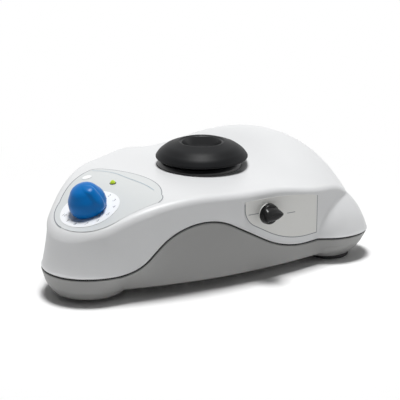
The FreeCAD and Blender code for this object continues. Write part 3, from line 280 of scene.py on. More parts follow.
def seam_row(inset, lift):
    """The row of wall points on the seam: height and station settle together in a few rounds."""
    z = seam_height(RIM[None, :, 1], lift)
    for _ in range(12):
        z = seam_height(wall_points(inset, z)[..., 1], lift)
    return z


def raised(plan, z):
    """Plan points with their heights as the third column."""
    return np.concatenate([plan, z[..., None]], -1)


def cover_skin(inset, edge):
    """The cover from its seam edge up the wall, over the deck's rounded edge and in to the neck hole."""
    radius = np.maximum(np.interp(RIM[:, 1], *EDGE_ROUND) - inset, 0.3)
    start = RIM - RIM_NORMAL * inset
    top = deck_height(*start.T) - inset - radius
    low = seam_row(inset, GASKET / 2)
    lip = np.linspace(0, QUARTER, LIP_ROWS)[:, None]
    rows = [wall_points(inset + edge * (1 - np.sin(t)), low + edge * (1 - np.cos(t))) for t in lip]
    # Wall rows crowd towards the seam
    share = np.linspace(0, 1, WALL_ROWS)[1:, None] ** 1.5
    rows.append(wall_points(inset, low + edge + (top - low - edge) * share))
    turn = np.linspace(0, QUARTER, EDGE_ROWS)[1:, None]
    under = start - RIM_NORMAL * (radius * (1 - np.cos(turn)))[..., None]
    pushed = wall_points(inset, np.broadcast_to(top, (1, len(RIM))))[..., :2] - start
    plan = under + pushed * (1 - np.sin(turn))[..., None] ** 2
    drop = radius * (1 - np.sin(turn))
    rows.append(raised(plan, deck_height(under[..., 0], under[..., 1]) - inset - drop))
    inner = start - RIM_NORMAL * radius[:, None]
    centre = np.array([0, HEAD_Y])
    away = np.linalg.norm(inner - centre, axis=1)
    ring = COLLAR_RADIUS + 0.1
    share = np.linspace(0, 1, DECK_ROWS)[1:, None]
    once = np.ones((1, len(RIM)))
    reach = np.concatenate([away + (ring - away) * share, ring * once, NECK * once])
    plan = centre + (inner - centre) / away[:, None] * reach[..., None]
    z = deck_height(plan[..., 0], plan[..., 1]) - inset
    z[-2:] = SEAT_Z - inset
    rows.append(raised(plan, z))
    rows = np.concatenate(rows)
    if inset == 0:
        bead = BEAD * np.exp(-((rows[..., 2] - low) / BEAD_HEIGHT) ** 2)
        rows[..., :2] += RIM_NORMAL * bead[..., None]
    return rows


def base_skin(inset, floor, edge):
    """The base from its seam edge down the wall, round its lower edge and in under the floor."""
    low = seam_row(inset, -GASKET / 2)
    share = np.linspace(0, 1, 44)[:, None]
    rows = [wall_points(inset + edge * (1 - np.sin(t)), low - edge * (1 - np.cos(t)))
            for t in np.linspace(0, QUARTER, LIP_ROWS)[:-1]]
    draft = np.interp(RIM[:, 1], *BASE_DRAFT) * share
    rows.append(wall_points(inset, low - edge + (floor + edge - low + edge) * share, draft))
    foot = rows[-1][-1]
    turn = np.linspace(0, QUARTER, 6)[1:, None]
    plan = foot[:, :2] - RIM_NORMAL * (edge * (1 - np.cos(turn)))[..., None]
    rows.append(raised(plan, np.broadcast_to(floor + edge * (1 - np.sin(turn)), plan.shape[:2])))
    last = rows[-1][-1]
    shrink = np.linspace(1, 0, 12)[1:, None, None]
    rows.append(last * np.concatenate([np.repeat(shrink, 2, 2), np.ones_like(shrink)], 2))
    return np.concatenate(rows)


def turned(profile, centre=(0, 0, 0), columns=96):
    """A profile of (radius, height) points carried round an upright axis."""
    turn = np.linspace(0, TURN, columns, endpoint=False)
    radius = profile[:, 0, None]
    height = np.broadcast_to(profile[:, 1, None], (len(profile), columns))
    return np.stack([radius * np.cos(turn), radius * np.sin(turn), height], -1) + np.asarray(centre, float)


# Meshes and materials


def placed(name, data):
    """A new object in the scene, at the origin, for a mesh, curve, lamp or camera."""
    item = bpy.data.objects.new(name, data)
    bpy.context.scene.collection.objects.link(item)
    return item


def coordinates(parts, field, width=3, kind=float):
    """One field of a mesh's vertices or faces as an array, a row for each."""
    values = np.empty(len(parts) * width, kind)
    parts.foreach_get(field, values)
    return values.reshape(-1, width)


def quads(rows, columns, closed, offset=0):
    """Corner numbers of a grid's faces, with the last column joined to the first if the grid is closed."""
    index = offset + np.arange(rows * columns).reshape(rows, columns)
    if closed:
        index = np.concatenate([index, index[:, :1]], 1)
    corners = index[:-1, :-1], index[:-1, 1:], index[1:, 1:], index[1:, :-1]
    return np.stack([c.ravel() for c in corners], 1)


def piece(name, grids, body, finish, replaced=(), sharp=35):
    """One mesh out of grids of points (rows by columns), each with a flag that closes it round."""
    points, faces, offset = [], [], 0
    for grid, closed in grids:
        faces.append(quads(*grid.shape[:2], closed, offset))
        points.append(grid.reshape(-1, 3) * MM)
        offset += len(points[-1])
    mesh = bpy.data.meshes.new(name)
    mesh.from_pydata(np.concatenate(points).tolist(), [], np.concatenate(faces).tolist())
    item = placed(name, mesh)
    weld(mesh)
    dress(item, body, finish, replaced, sharp)
    return item


def weld(mesh):
    """Weld doubles, drop faces that closed up and turn the rest outwards."""
    work = bmesh.new()
    work.from_mesh(mesh)
    bmesh.ops.remove_doubles(work, verts=work.verts, dist=2e-6)
    bmesh.ops.dissolve_degenerate(work, edges=work.edges, dist=1e-7)
    bmesh.ops.recalc_face_normals(work, faces=work.faces)
    work.to_mesh(mesh)
    work.free()


def smooth(mesh, sharp):
    """Smooth shading, with edges sharper than an angle in degrees kept crisp."""
    mesh.shade_smooth()
    mesh.set_sharp_from_angle(angle=math.radians(sharp))


def dress(item, body, finish, replaced=(), sharp=35):
    """Give a piece its finish and shading, the body it rides on and the nodes it stands for."""
    item.data.materials.append(finish)
    smooth(item.data, sharp)
    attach(item, body)
    if replaced:
        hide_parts(*replaced)


def cut_away(item, cutter_grid):
    """Take a closed cutter out of a piece and keep the result as the piece's own mesh."""
    rows, columns = cutter_grid.shape[:2]
    first, last = list(range(columns)), list(range((rows - 1) * columns, rows * columns))
    mesh = bpy.data.meshes.new("cutter")
    faces = quads(rows, columns, True).tolist() + [first[::-1], last]
    mesh.from_pydata((cutter_grid.reshape(-1, 3) * MM).tolist(), [], faces)
    weld(mesh)
    cutter = placed("cutter", mesh)
    change = item.modifiers.new("opening", "BOOLEAN")
    change.object, change.operation, change.solver = cutter, "DIFFERENCE", "EXACT"
    bpy.context.view_layer.update()
    result = bpy.data.meshes.new_from_object(item.evaluated_get(bpy.context.evaluated_depsgraph_get()))
    item.modifiers.clear()
    item.data = result
    bpy.data.objects.remove(cutter)


def lit(hex_code):
    """An sRGB hex colour as linear light: the sRGB curve undone for each channel."""
    channels = np.array([int(hex_code[i:i + 2], 16) for i in (1, 3, 5)]) / 255
    linear = np.where(channels <= 0.04045, channels / 12.92, ((channels + 0.055) / 1.055) ** 2.4)
    return (*linear, 1.0)


def node(tree, kind, settings=None, **links):
    """Add a node: settings are its properties or, by input name, its values; links join inputs to outputs."""
    made = tree.nodes.new(kind)
    for key, value in (settings or {}).items():
        if key in made.inputs:
            made.inputs[key].default_value = value
        else:
            setattr(made, key, value)
    for key, output in links.items():
        tree.links.new(output, made.inputs[key.replace("_", " ")])
    return made


def finish_of(name, base, rough, grain=None, bump=0.0, spread=0.0, metal=0.0, patch=40, shine=0.5):
    """A surface: base colour with a slow drift, roughness, and a grain that bumps it.

    The drift is a soft noise, a patch (in mm) across, between the colour and one darker by the spread. The
    grain is a fine noise whose scale is one over its size (in mm); it also moves the roughness a little.
    """
    made = bpy.data.materials.new(name)
    made.use_nodes = True
    tree = made.node_tree
    shader = tree.nodes["Principled BSDF"]
    shader.inputs["Metallic"].default_value = metal
    shader.inputs["Specular IOR Level"].default_value = shine
    place = node(tree, "ShaderNodeTexCoord").outputs["Object"]
    drift = node(tree, "ShaderNodeTexNoise", {"Scale": 1 / (patch * MM), "Detail": 3.0}, Vector=place)
    colours = node(tree, "ShaderNodeMix", {"data_type": "RGBA"})
    tree.links.new(drift.outputs["Fac"], colours.inputs[0])
    darker = tuple(c * (1 - spread) for c in lit(base)[:3]) + (1.0,)
    colours.inputs[6].default_value, colours.inputs[7].default_value = lit(base), darker
    tree.links.new(colours.outputs[2], shader.inputs["Base Color"])
    if grain:
        fine = node(tree, "ShaderNodeTexNoise", {"Scale": 1 / (grain * MM), "Detail": 2.0}, Vector=place)
        sheen = node(tree, "ShaderNodeMapRange", {"To Min": rough - 0.05, "To Max": rough + 0.05},
                     Value=fine.outputs["Fac"])
        tree.links.new(sheen.outputs["Result"], shader.inputs["Roughness"])
        relief = node(tree, "ShaderNodeBump", {"Strength": bump, "Distance": grain * MM * 0.4},
                      Height=fine.outputs["Fac"])
        tree.links.new(relief.outputs["Normal"], shader.inputs["Normal"])
    else:
        shader.inputs["Roughness"].default_value = rough
    return made


# Grain sizes start from the real surfaces'. Those finer than about 0.2 mm are drawn coarser, so as to show

# Moulded ABS with a fine spark-eroded texture: even, softly satin, almost white
cover_abs = finish_of("moulded_abs_white", "#DFE0E1", 0.42, grain=0.45, bump=0.12, spread=0.015)
# Die-cast base under a fine textured enamel: an even mid grey, a little duller than the cover
base_enamel = finish_of("textured_enamel_grey", "#969695", 0.46, grain=0.5, bump=0.15, spread=0.02)
# Moulded nitrile rubber: near black, dull, with a slight bloom
cup_rubber = finish_of("moulded_nitrile_rubber", "#0F1012", 0.46, grain=0.35, bump=0.2, spread=0.12,
                       shine=0.12)
# The same rubber in the cup's dimple, a little smoother; its greyer colour is painted light, for the light its
# far wall catches
painted_light_dimple_rubber = finish_of("painted_light_dimple_finish", "#1D1E20", 0.36, grain=0.35, bump=0.12, spread=0.25, patch=6,
                        shine=0.3)
# Soft moulded rubber: black and quite dull, with a grip texture
foot_rubber = finish_of("soft_foot_rubber", "#151516", 0.75, grain=0.4, bump=0.3, spread=0.15)
# Extruded rubber cord: black and dull, with the die's fine roughness
gasket_rubber = finish_of("extruded_gasket_rubber", "#121213", 0.7, grain=0.3, bump=0.2, spread=0.1)
# Glossy dyed ABS: deep even blue with a clear highlight
knob_blue = finish_of("gloss_blue_abs", "#0070BE", 0.32, grain=0.6, bump=0.03, spread=0.05, shine=0.16)
# Phenolic moulding: hard glossy black
switch_black = finish_of("black_phenolic", "#09090A", 0.26, grain=0.5, bump=0.04, spread=0.1, shine=0.25)
# Turned acetal: black with a waxy half sheen
collar_black = finish_of("black_acetal", "#1B1B1D", 0.38, grain=0.4, bump=0.1, spread=0.1)
# Matt polycarbonate film, back-printed pale grey
film_grey = finish_of("printed_polycarbonate_film", "#D2D5D5", 0.36, grain=0.25, bump=0.05, spread=0.01)
# The same film, back-printed a warmer and paler grey
side_grey = finish_of("printed_side_film", "#E4E4E1", 0.36, grain=0.25, bump=0.05, spread=0.01)
# White back print under the same film
dial_white = finish_of("white_print", "#F4F5F6", 0.36, grain=0.25, bump=0.05, spread=0.01)
# Screen-printed inks: flat and slightly matt. The grey also draws the films' dark edge lines, painted shade of
# the recesses they sit in
shade_and_print_grey = finish_of("grey_ink_and_painted_shade", "#84878D", 0.5, spread=0.05)
ink_blue = finish_of("pale_blue_print", "#9DB6C6", 0.5, spread=0.05)
# Tinted epoxy lens, lit a little from inside
LAMP_COLOUR = "#B4D020"
lamp_lens = finish_of("tinted_epoxy_lens", LAMP_COLOUR, 0.12, spread=0.1, patch=2)
lamp_inputs = lamp_lens.node_tree.nodes["Principled BSDF"].inputs
lamp_inputs["Emission Color"].default_value = lit(LAMP_COLOUR)
lamp_inputs["Emission Strength"].default_value = 0.25
# Bead-blasted chrome on the switch ring: pale, even, no sharp mirror
bezel_chrome = finish_of("blasted_satin_chrome", "#DADAD8", 0.6, grain=0.3, bump=0.03, spread=0.05,
                         metal=0.35)

# Finishes of the inner works by slot: name, colour, roughness, grain, bump, spread, metal, patch
INNER_WORKS = {
    # Solder mask on a circuit board: smooth green, patchy over the copper
    "board_green": ("solder_mask_green", "#1F5B34", 0.35, 0.3, 0.1, 0.2, 0.0, 10),
    # Zinc-plated steel wire and screws: bright, slightly clouded
    "bright_steel": ("zinc_plated_steel", "#A9ABAE", 0.32, 0.3, 0.06, 0.12, 1.0),
    # Ground and polished bearing steel: near mirror
    "bearing_steel": ("ground_bearing_steel", "#B8BABD", 0.18, 0.2, 0.03, 0.06, 1.0),
    # Galvanised sheet: dull, with broad spangles
    "zinc_plate": ("galvanised_sheet", "#9DA0A3", 0.42, 1.2, 0.05, 0.18, 1.0),
    # Sand-cast aluminium: matt and finely pitted
    "cast_aluminium": ("cast_aluminium", "#A4A6A8", 0.46, 0.5, 0.2, 0.1, 1.0),
    # Turned brass: warm, with a fine tool finish
    "brass_metal": ("turned_brass", "#B08D4A", 0.3, 0.2, 0.05, 0.1, 1.0),
    # Stacked core sheets: dark and scaly
    "core_steel": ("laminated_core_steel", "#5C5E61", 0.5, 0.5, 0.25, 0.2, 1.0),
    # Polyester tape round the coil: yellow, slightly creased
    "coil_tape": ("yellow_coil_tape", "#C9A12B", 0.45, 0.6, 0.1, 0.15, 0.0, 10),
    # Moulded nylon: black, half matt
    "black_plastic": ("black_nylon", "#1C1C1E", 0.5, 0.4, 0.15, 0.12),
}
NODE_FINISHES = {slot: finish_of(*values) for slot, values in INNER_WORKS.items()}
NODE_FINISHES.update({
    "housing_white": cover_abs, "base_grey": base_enamel, "black_rubber": gasket_rubber,
    "printed_film": film_grey, "blue_gloss": knob_blue, "black_gloss": switch_black, "lamp_green": lamp_lens,
})
for part in frame["record"]["subparts"]:
    item = frame["nodes"][part["node"]]
    item.data.materials.clear()
    item.data.materials.append(NODE_FINISHES[part["material_slot"]])

# Cover, base and gasket
SHELL_SHARP = 50
outer, inner = cover_skin(0, OUTER_EDGE), cover_skin(WALL, INNER_EDGE)
# The unseen inside needs a third of the rows, and all of those round the neck
inner = np.concatenate([inner[:-3:3], inner[-3:]])
cover = piece("cover_shell", [(np.concatenate([outer, inner[::-1], outer[:1]]), True)], "housing", cover_abs,
              ["top_cover"], sharp=SHELL_SHARP)
corner_turn = np.linspace(0, TURN, 32, endpoint=False) + TURN / 64
mouth = np.stack([np.sign(wave) * (half - INLET_ROUND) + INLET_ROUND * wave
                  for wave, half in zip((np.cos(corner_turn), np.sin(corner_turn)), INLET_HALF)], 1)
cut_away(cover, np.stack([np.insert(mouth + [0, INLET_Z], 1, REAR_Y + y, 1) for y in (-10, 10)]))
smooth(cover.data, SHELL_SHARP)
under, over = base_skin(0, FLOOR_Z, OUTER_EDGE), base_skin(WALL, FLOOR_TOP, INNER_EDGE)
# Bowls under the pods, closed above the floor; they stand a hair outside the walls they run into
BOWL_TOP, BOWL_PROUD = 12, 0.02
bowls = []
for centre, foot, profile, front, _ in PODS:
    bowl = rounded([(0, POD_Z), tuple(profile[0]), tuple(profile[4])], [1.5])
    side = profile[(profile[:, 1] > profile[4, 1]) & (profile[:, 1] < BOWL_TOP)]
    lid = [[side[-1, 0] - 3, BOWL_TOP], [0, BOWL_TOP]]
    bowl = turned(np.concatenate([bowl, side + [BOWL_PROUD, 0], lid]))
    bowl[..., 1] *= np.where(bowl[..., 1] < 0, front, 1)
    bowl[..., :2] += slanted(centre, foot, bowl[..., 2])
    bowls.append((bowl, True))
piece("base_tray", [(np.concatenate([over[::-1], under]), True)] + bowls, "housing", base_enamel,
      ["base_pan"], sharp=SHELL_SHARP)
# The strip's section between the halves: inset from the wall and lift off the seam
STRIP = [(0.35, -0.5), (0.35, 0.5), (2.3, 0.5), (2.3, -0.5), (0.35, -0.5)]
strip = np.concatenate([wall_points(inset, seam_row(inset, lift)) for inset, lift in STRIP])
piece("seam_strip", [(strip, True)], "housing", gasket_rubber, ["seam_gasket"])

# Cup, collar and feet
cup = rounded([
    (0, 60), (11.5, 60), (11.5, 65.1), (27.6, 65.1), (30.9, 65.9), (28.0, 70.0), (23.0, 73.8), (15.0, 76.5),
    (13.2, 75.8), (10.9, 69.4), (5.5, 64.7), (0, 64),
], [0.3, 0.5, 1, 1.1, 9, 14, 1.4, 1.2, 8, 3])
CUP_AT = (ORBIT, HEAD_Y, 0)
rubber_cup = piece("rubber_cup", [(turned(cup, CUP_AT, 128), True)], "head", cup_rubber,
                   ["cup_head"])
# The dimple gets the greyer rubber, painted light for its lit far wall: all faces within its edge and above
# its floor
DIMPLE_EDGE, DIMPLE_FLOOR = 13.6, 63
rubber_cup.data.materials.append(painted_light_dimple_rubber)
middles = coordinates(rubber_cup.data.polygons, "center") / MM - CUP_AT
in_dimple = (np.hypot(middles[:, 0], middles[:, 1]) < DIMPLE_EDGE) & (middles[:, 2] > DIMPLE_FLOOR)
rubber_cup.data.polygons.foreach_set("material_index", in_dimple.astype(np.int32))
collar = rounded([
    (14.6, 55.9), (18.4, 55.9), (18.4, 56.9), (17, 56.9), (17, 59.6), (28.0, 59.6), (27.7, 61.2),
    (25.8, 63.2), (16.6, 63.2), (14.6, 61.5), (14.6, 55.9),
], [0.2, 0.2, 0.2, 0.1, 0.2, 1.2, 1.2, 0.6, 0.3])
piece("splash_ring", [(turned(collar, (0, HEAD_Y, 0), 128), True)], "housing", collar_black,
      ["splash_collar"])
pad = rounded([(0, 0), (13.4, 0), (13.4, 3), (4, 3), (4, 9), (0, 9)], [1.2, 0.4, 0.2, 0.4])
for name, pod in zip(("front_foot", "right_foot", "left_foot"), PODS):
    piece(name + "_pad", [(turned(pad, (*pod[1], 0), 72), True)], "housing", foot_rubber,
          [name])

# Neck boot: both its rings are round, so carried by the rotor it leans after the orbiting hub at every turn
BOOT_FOOT, BOOT_TOP = 51.2, 55.6
boot = turned(np.array([
    (11.8, BOOT_FOOT), (12.9, BOOT_FOOT), (18, BOOT_TOP), (16.9, BOOT_TOP), (11.8, BOOT_FOOT),
]), (0, HEAD_Y, 0))
boot[..., 0] += ORBIT * (BOOT_TOP - boot[..., 2]) / (BOOT_TOP - BOOT_FOOT)
piece("neck_sleeve", [(boot, True)], "rotor", gasket_rubber, ["neck_boot"])

# Carriage springs
BOSS_TOP, SPRING_LOW, SPRING_HIGH = 22.0, 22.7, 36.3
COIL, WIRE, COIL_TURNS, POST_CIRCLE, PRESS = 4.3, 0.6, 5, 33.0, 1.5


def coil_spring(x, y):
    """A round wire along a helix: rings on its normal and binormal, closed to a point at both ends."""
    turn = np.linspace(0, COIL_TURNS * TURN, COIL_TURNS * 24 + 1)
    turn = np.concatenate([turn[:1], turn, turn[-1:]])[:, None, None]
    thick = np.full(turn.shape, WIRE)
    thick[[0, -1]] = 0
    pitch = (SPRING_HIGH - SPRING_LOW) / (COIL_TURNS * TURN)
    flat = np.zeros_like(turn)
    inward = np.concatenate([-np.cos(turn), -np.sin(turn), flat], -1)
    way = np.concatenate([-COIL * np.sin(turn), COIL * np.cos(turn), flat + pitch], -1)
    way /= math.hypot(COIL, pitch)
    middle = np.concatenate([x + flat, y + flat, SPRING_LOW + pitch * turn], -1) - COIL * inward
    ring = np.linspace(0, TURN, 12, endpoint=False)[None, :, None]
    return middle + thick * (np.cos(ring) * inward + np.sin(ring) * np.cross(way, inward))


post_turn = np.radians([90, 210, 330])
posts = POST_CIRCLE * np.stack([np.cos(post_turn), np.sin(post_turn)], 1) + [0, HEAD_Y]
springs = piece("carriage_springs", [(coil_spring(*post), True) for post in posts], "housing",
                NODE_FINISHES["bright_steel"], ["suspension_springs"])
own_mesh(springs)


# Speed knob, in a frame whose upright is the deck's normal


def deck_axes(x, y):
    """Axes on the deck: X level, then the slope's direction, then the normal, as rows."""
    step = 0.01
    slope = (deck_height(x, y + step) - deck_height(x, y - step)) / (2 * step)
    tilt = (deck_height(x + step, y) - deck_height(x - step, y)) / (2 * step)
    normal = np.array([-tilt, -slope, 1.0]) / math.sqrt(tilt ** 2 + slope ** 2 + 1)
    level = np.array([1.0, 0, tilt])
    level -= normal * (level @ normal)
    level /= np.linalg.norm(level)
    return np.stack([level, np.cross(normal, level), normal])


KNOB_AXES = deck_axes(0.0, KNOB_Y)
KNOB_AT = np.array([0, KNOB_Y, float(deck_height(0.0, KNOB_Y))])
# The knob's ridge: how far it stands out, half its width, and how far it rises at the top
RIDGE, RIDGE_WIDTH, RIDGE_RISE = 1.5, 3.0, 0.5


def knob_dome():
    """An egg: rings of an egg's radius over height, swollen on one side by a ridge that fades across it.

    The ridge is a bell curve over the distance from the pointer. It grows from the skirt and fades at the top.
    """
    skirt_z, inside_rows = 0.6, 8
    egg = np.concatenate([
        rounded([(3, 6), (9.6, 6), (9.6, skirt_z), (10.9, skirt_z)], [0.5, 0.3], 4),
        rounded([(10.9, skirt_z), (11.9, 4), (11.5, 9), (7.2, 15.8), (0, 18.4)], [5, 9, 6], 20),
    ])
    egg = egg[np.insert(np.abs(np.diff(egg, axis=0)).sum(1) > 1e-6, 0, True)]
    turn = np.linspace(0, TURN, 144, endpoint=False)
    off = (turn + math.pi) % TURN - math.pi
    wide, height = egg[:, 0, None], egg[:, 1, None]
    swell = np.exp(-(off * np.maximum(wide, 1) / RIDGE_WIDTH) ** 4)
    grow = np.clip((height - skirt_z) / 5, 0, 1) ** 0.7 * np.clip(wide / 7, 0, 1)
    outside = (np.arange(len(egg)) > inside_rows)[:, None]
    radius = wide + RIDGE * swell * grow * outside
    lift = RIDGE_RISE * swell * np.clip((height - 12) / 6, 0, 1) * np.clip(wide / 3, 0, 1)
    local = np.stack([radius * np.cos(turn), radius * np.sin(turn), height + lift], -1)
    return local @ KNOB_AXES + KNOB_AT


piece("speed_dial_knob", [(knob_dome(), True)], "speed_dial", knob_blue, ["speed_knob"],
      sharp=60)

# Mode knob: a skirt and a tapered pointer bar, in a frame on the mode joint's axis
MODE_OUT = np.array([0.97198, -0.23506, 0])
MODE_AXES = np.stack([np.array([-MODE_OUT[1], MODE_OUT[0], 0]), np.array([0, 0, 1.0]), MODE_OUT])
MODE_AT = np.array([67.84, 8.4, 44.5])
# The bar over height: height, half its width, length of its tip
BAR_LEVELS = np.array([
    [4.4, 5.0, 7.6], [5.0, 4.9, 7.6], [6.0, 4.4, 7.6], [7.2, 3.8, 7.5], [8.1, 3.2, 7.3], [8.7, 2.4, 6.7],
    [9.0, 1.3, 5.4], [9.0, 0.01, 4.0],
])
# How blunt the bar's ends are, how round its flanks, how much its tip narrows, and its tail against its tip
BAR_BLUNT, BAR_ROUND, BAR_TAPER, BAR_TAIL = 0.45, 0.8, 0.6, 0.8


def on_wall(grid):
    """Points given in the mode knob's own frame, brought to their place on the right wall."""
    return grid @ MODE_AXES + MODE_AT


def pointer_bar():
    """A bar lofted over height: rounded wedges in plan that narrow towards the top, closed by a domed cap."""
    turn = np.linspace(0, TURN, 72, endpoint=False)
    along, aside = np.cos(turn), np.sin(turn)
    height, half, tip = (BAR_LEVELS[:, i, None] for i in range(3))
    blunt = np.sign(along) * np.abs(along) ** BAR_BLUNT
    x = np.where(along > 0, tip * blunt, BAR_TAIL * tip * blunt)
    taper = np.where(along > 0, 1 - BAR_TAPER * np.abs(along) ** BAR_ROUND, 1.0)
    y = half * np.sign(aside) * np.abs(aside) ** BAR_ROUND * taper
    return on_wall(np.stack([x, y, np.broadcast_to(height, x.shape)], -1))


skirt = rounded([(2.5, 3.2), (5.5, 3.2), (5.5, 1.8), (6.8, 1.8), (6.3, 4.9), (0, 5.1)], [0.3, 0.2, 0.3, 0.7])
piece("mode_knob_cap", [(on_wall(turned(skirt)), True), (pointer_bar(), True)], "mode_lever", switch_black,
      ["mode_knob"], sharp=40)
bezel = rounded([(3, 0.3), (6.3, 0.3), (6.3, 1.5), (3, 1.5), (3, 0.3)], [0.1, 0.5, 0.1])
piece("switch_bezel", [(on_wall(turned(bezel)), True)], "housing", bezel_chrome,
      ["mode_switch_nut"])


# Printed films: their thickness, then the heights above the housing's surface of the prints and of the dark
# edge lines, which are painted shade

FRONT_FILM, SIDE_FILM = 0.15, 0.3
EDGE_LIFT, PATCH_LIFT, PATCH_THICK, LINE_LIFT, NUMERAL_INK = 0.17, 0.3, 0.05, 0.33, 0.37


def on_deck(plan, lift):
    """Plan points laid on the deck, lifted off it."""
    return raised(plan, deck_height(plan[..., 0], plan[..., 1]) + lift)


def on_dial(plan, lift):
    """Points drawn about the knob's axis, laid on the deck."""
    return on_deck(plan * [1, KNOB_AXES[1, 1]] + [0, KNOB_Y], lift)


def on_side(plan, lift):
    """Points given as station and height, laid on the right wall's wide arc."""
    y, z = plan[..., 0], plan[..., 1]
    turn = np.arcsin((y - SIDE[1]) / SIDE_RADIUS)
    reach = SIDE_RADIUS + lift
    return np.stack([SIDE[0] + reach * np.cos(turn), SIDE[1] + reach * np.sin(turn), z], -1)


def film_edge():
    """The front film's outline in runs: the nose arc, two sides, two small corners and the long rear arc."""
    radius = NOSE_RADIUS - 3.6
    lean = math.radians(20)
    side = np.array([radius * math.cos(lean), NOSE[1] - radius * math.sin(lean)])
    right, left = np.array([37.2, -57.0]), np.array([-37.8, -43.5])
    right_end, left_end = right + [-6.2, 9.4], left + [4, 9]
    left_side = side * ACROSS + [2.2, 0]
    runs = [
        arc_through(left_side, NOSE - [0, radius], side, 60),
        np.linspace(side, right, 20),
        arc_through(right, right + [-1.3, 4.7], right_end, 12),
        arc_through(right_end, (-14, -29), left_end, 60),
        arc_through(left_end, left + [0.6, 5.5], left, 12),
        arc_through(left, (left + left_side) / 2 + [-2, -1], left_side, 24),
    ]
    return [run[:-1] for run in runs]


def flat_print(name, edge, lift, thick, finish, place=on_deck, replaced=(), centre=None, rings=14):
    """A closed outline filled by rings that shrink to its middle and laid on a surface, with a thin edge."""
    centre = edge.mean(0) if centre is None else np.asarray(centre, float)
    share = np.linspace(1, 0, rings)[:, None, None]
    top = place(centre + (edge - centre) * share, lift + thick)
    low = place(edge[None], lift)
    return piece(name, [(np.concatenate([low, top]), True)], "housing", finish, replaced,
                 sharp=60)


def line_print(name, path, width, lift, finish, place=on_deck):
    """A thin flat line, a print or a painted shade line: the path moved half its width to each side along its
    own normals.
    """
    way = np.gradient(path, axis=0)
    aside = np.stack([-way[:, 1], way[:, 0]], 1) / np.linalg.norm(way, axis=1)[:, None] * width / 2
    grid = np.stack([place(path + aside, lift), place(path - aside, lift)])
    return piece(name, [(grid, False)], "housing", finish)


def numerals(name, texts, places, height, finish, place):
    """Plain numerals: each one's outline made a mesh, set middle to its place and laid on the surface."""
    points, faces, offset = [], [], 0
    for text, spot in zip(texts, places):
        curve = bpy.data.curves.new("numeral", "FONT")
        curve.body, curve.size, curve.resolution_u = text, height * 1.4, 3
        holder = placed("numeral", curve)
        bpy.context.view_layer.update()
        mesh = bpy.data.meshes.new_from_object(holder.evaluated_get(bpy.context.evaluated_depsgraph_get()))
        flat = coordinates(mesh.vertices, "co")[:, :2]
        points.append(flat - (flat.min(0) + flat.max(0)) / 2 + spot)
        mesh.calc_loop_triangles()
        faces.append(coordinates(mesh.loop_triangles, "vertices", kind=np.int32) + offset)
        offset += len(flat)
        bpy.data.objects.remove(holder)
        bpy.data.meshes.remove(mesh)
        bpy.data.curves.remove(curve)
    mesh = bpy.data.meshes.new(name)
    laid = place(np.concatenate(points), NUMERAL_INK) * MM
    mesh.from_pydata(laid.tolist(), [], np.concatenate(faces).tolist())
    dress(placed(name, mesh), "housing", finish)


# Front film, with a dark line painted along its edge from the right corner round to the nose as painted shade
# of the recess it sits in; then the dial, accent line, oval and lamp
film_runs = film_edge()
flat_print("front_panel_film", np.concatenate(film_runs), 0.0, FRONT_FILM, film_grey, replaced=["front_film"],
           centre=(-2, -62), rings=40)
# The edge line is painted shade: the shadow in the film's recess, drawn only along the edges that lie in shade
line_print("front_film_edge_shade", np.concatenate(film_runs[2:] + [film_runs[0][:26]]), 0.55, EDGE_LIFT, shade_and_print_grey)
DIAL_RADIUS, NUMBER_CIRCLE, NUMBER_HEIGHT = 19.0, 15.9, 2.6
flat_print("dial_ring", ring_points(DIAL_RADIUS), PATCH_LIFT, PATCH_THICK, dial_white, place=on_dial,
           rings=20)
dial_turn = np.radians(135 - 27 * np.arange(11))
number_places = NUMBER_CIRCLE * np.stack([np.cos(dial_turn), np.sin(dial_turn)], 1)
numerals("dial_numbers", [str(i) for i in range(11)], number_places, NUMBER_HEIGHT, shade_and_print_grey, on_dial)
accent = np.array([[-36.1, -41.8], [-31.6, -39.0], [-24.8, -36.8], [-6.9, -38.5], [10.7, -41.2], [22, -45]])
share = np.linspace(0, 1, 60)
along = np.insert(np.cumsum(np.linalg.norm(np.diff(accent, axis=0), axis=1)), 0, 0)
accent = np.stack([spline(along, accent[:, i])(share * along[-1]) for i in (0, 1)], 1)
line_print("accent_line", accent, 0.35, LINE_LIFT, ink_blue)
oval = ring_points(1.0, 48) * [2.6, 3.4] + [-30.1, -52.1]
flat_print("plain_oval", oval, PATCH_LIFT, PATCH_THICK, dial_white)
# The lamp rim's section: radius and height above the deck
LAMP_RIM = [(2.1, 0.2), (2.1, 0.45), (1.75, 0.45), (1.75, 0.2)]
lamp_grid = np.stack([on_deck(ring_points(radius, 48) + LED, height) for radius, height in LAMP_RIM])
piece("lamp_rim", [(lamp_grid, True)], "housing", collar_black)

# Side film: it follows the seam below, and an arc under the deck's edge above
SEAM_MARGIN, FILM_FRONT, FILM_REAR = 5.3, -7.6, 50
film_y = np.linspace(8, FILM_REAR, 50)
lower = np.stack([film_y, seam_height(film_y, SEAM_MARGIN)], 1)
front_corner = [(FILM_FRONT, 54), (FILM_FRONT, seam_height(FILM_FRONT, SEAM_MARGIN)), lower[0]]
lower = np.concatenate([rounded(front_corner, [14], 20)[1:-1], lower])
upper = arc_through((FILM_REAR, 48), (21.2, 53.2), (FILM_FRONT, 54), 50)
flat_print("side_panel_film", np.concatenate([lower, upper]), 0.0, SIDE_FILM, side_grey, place=on_side,
           replaced=["side_film"], centre=(24, 42), rings=24)
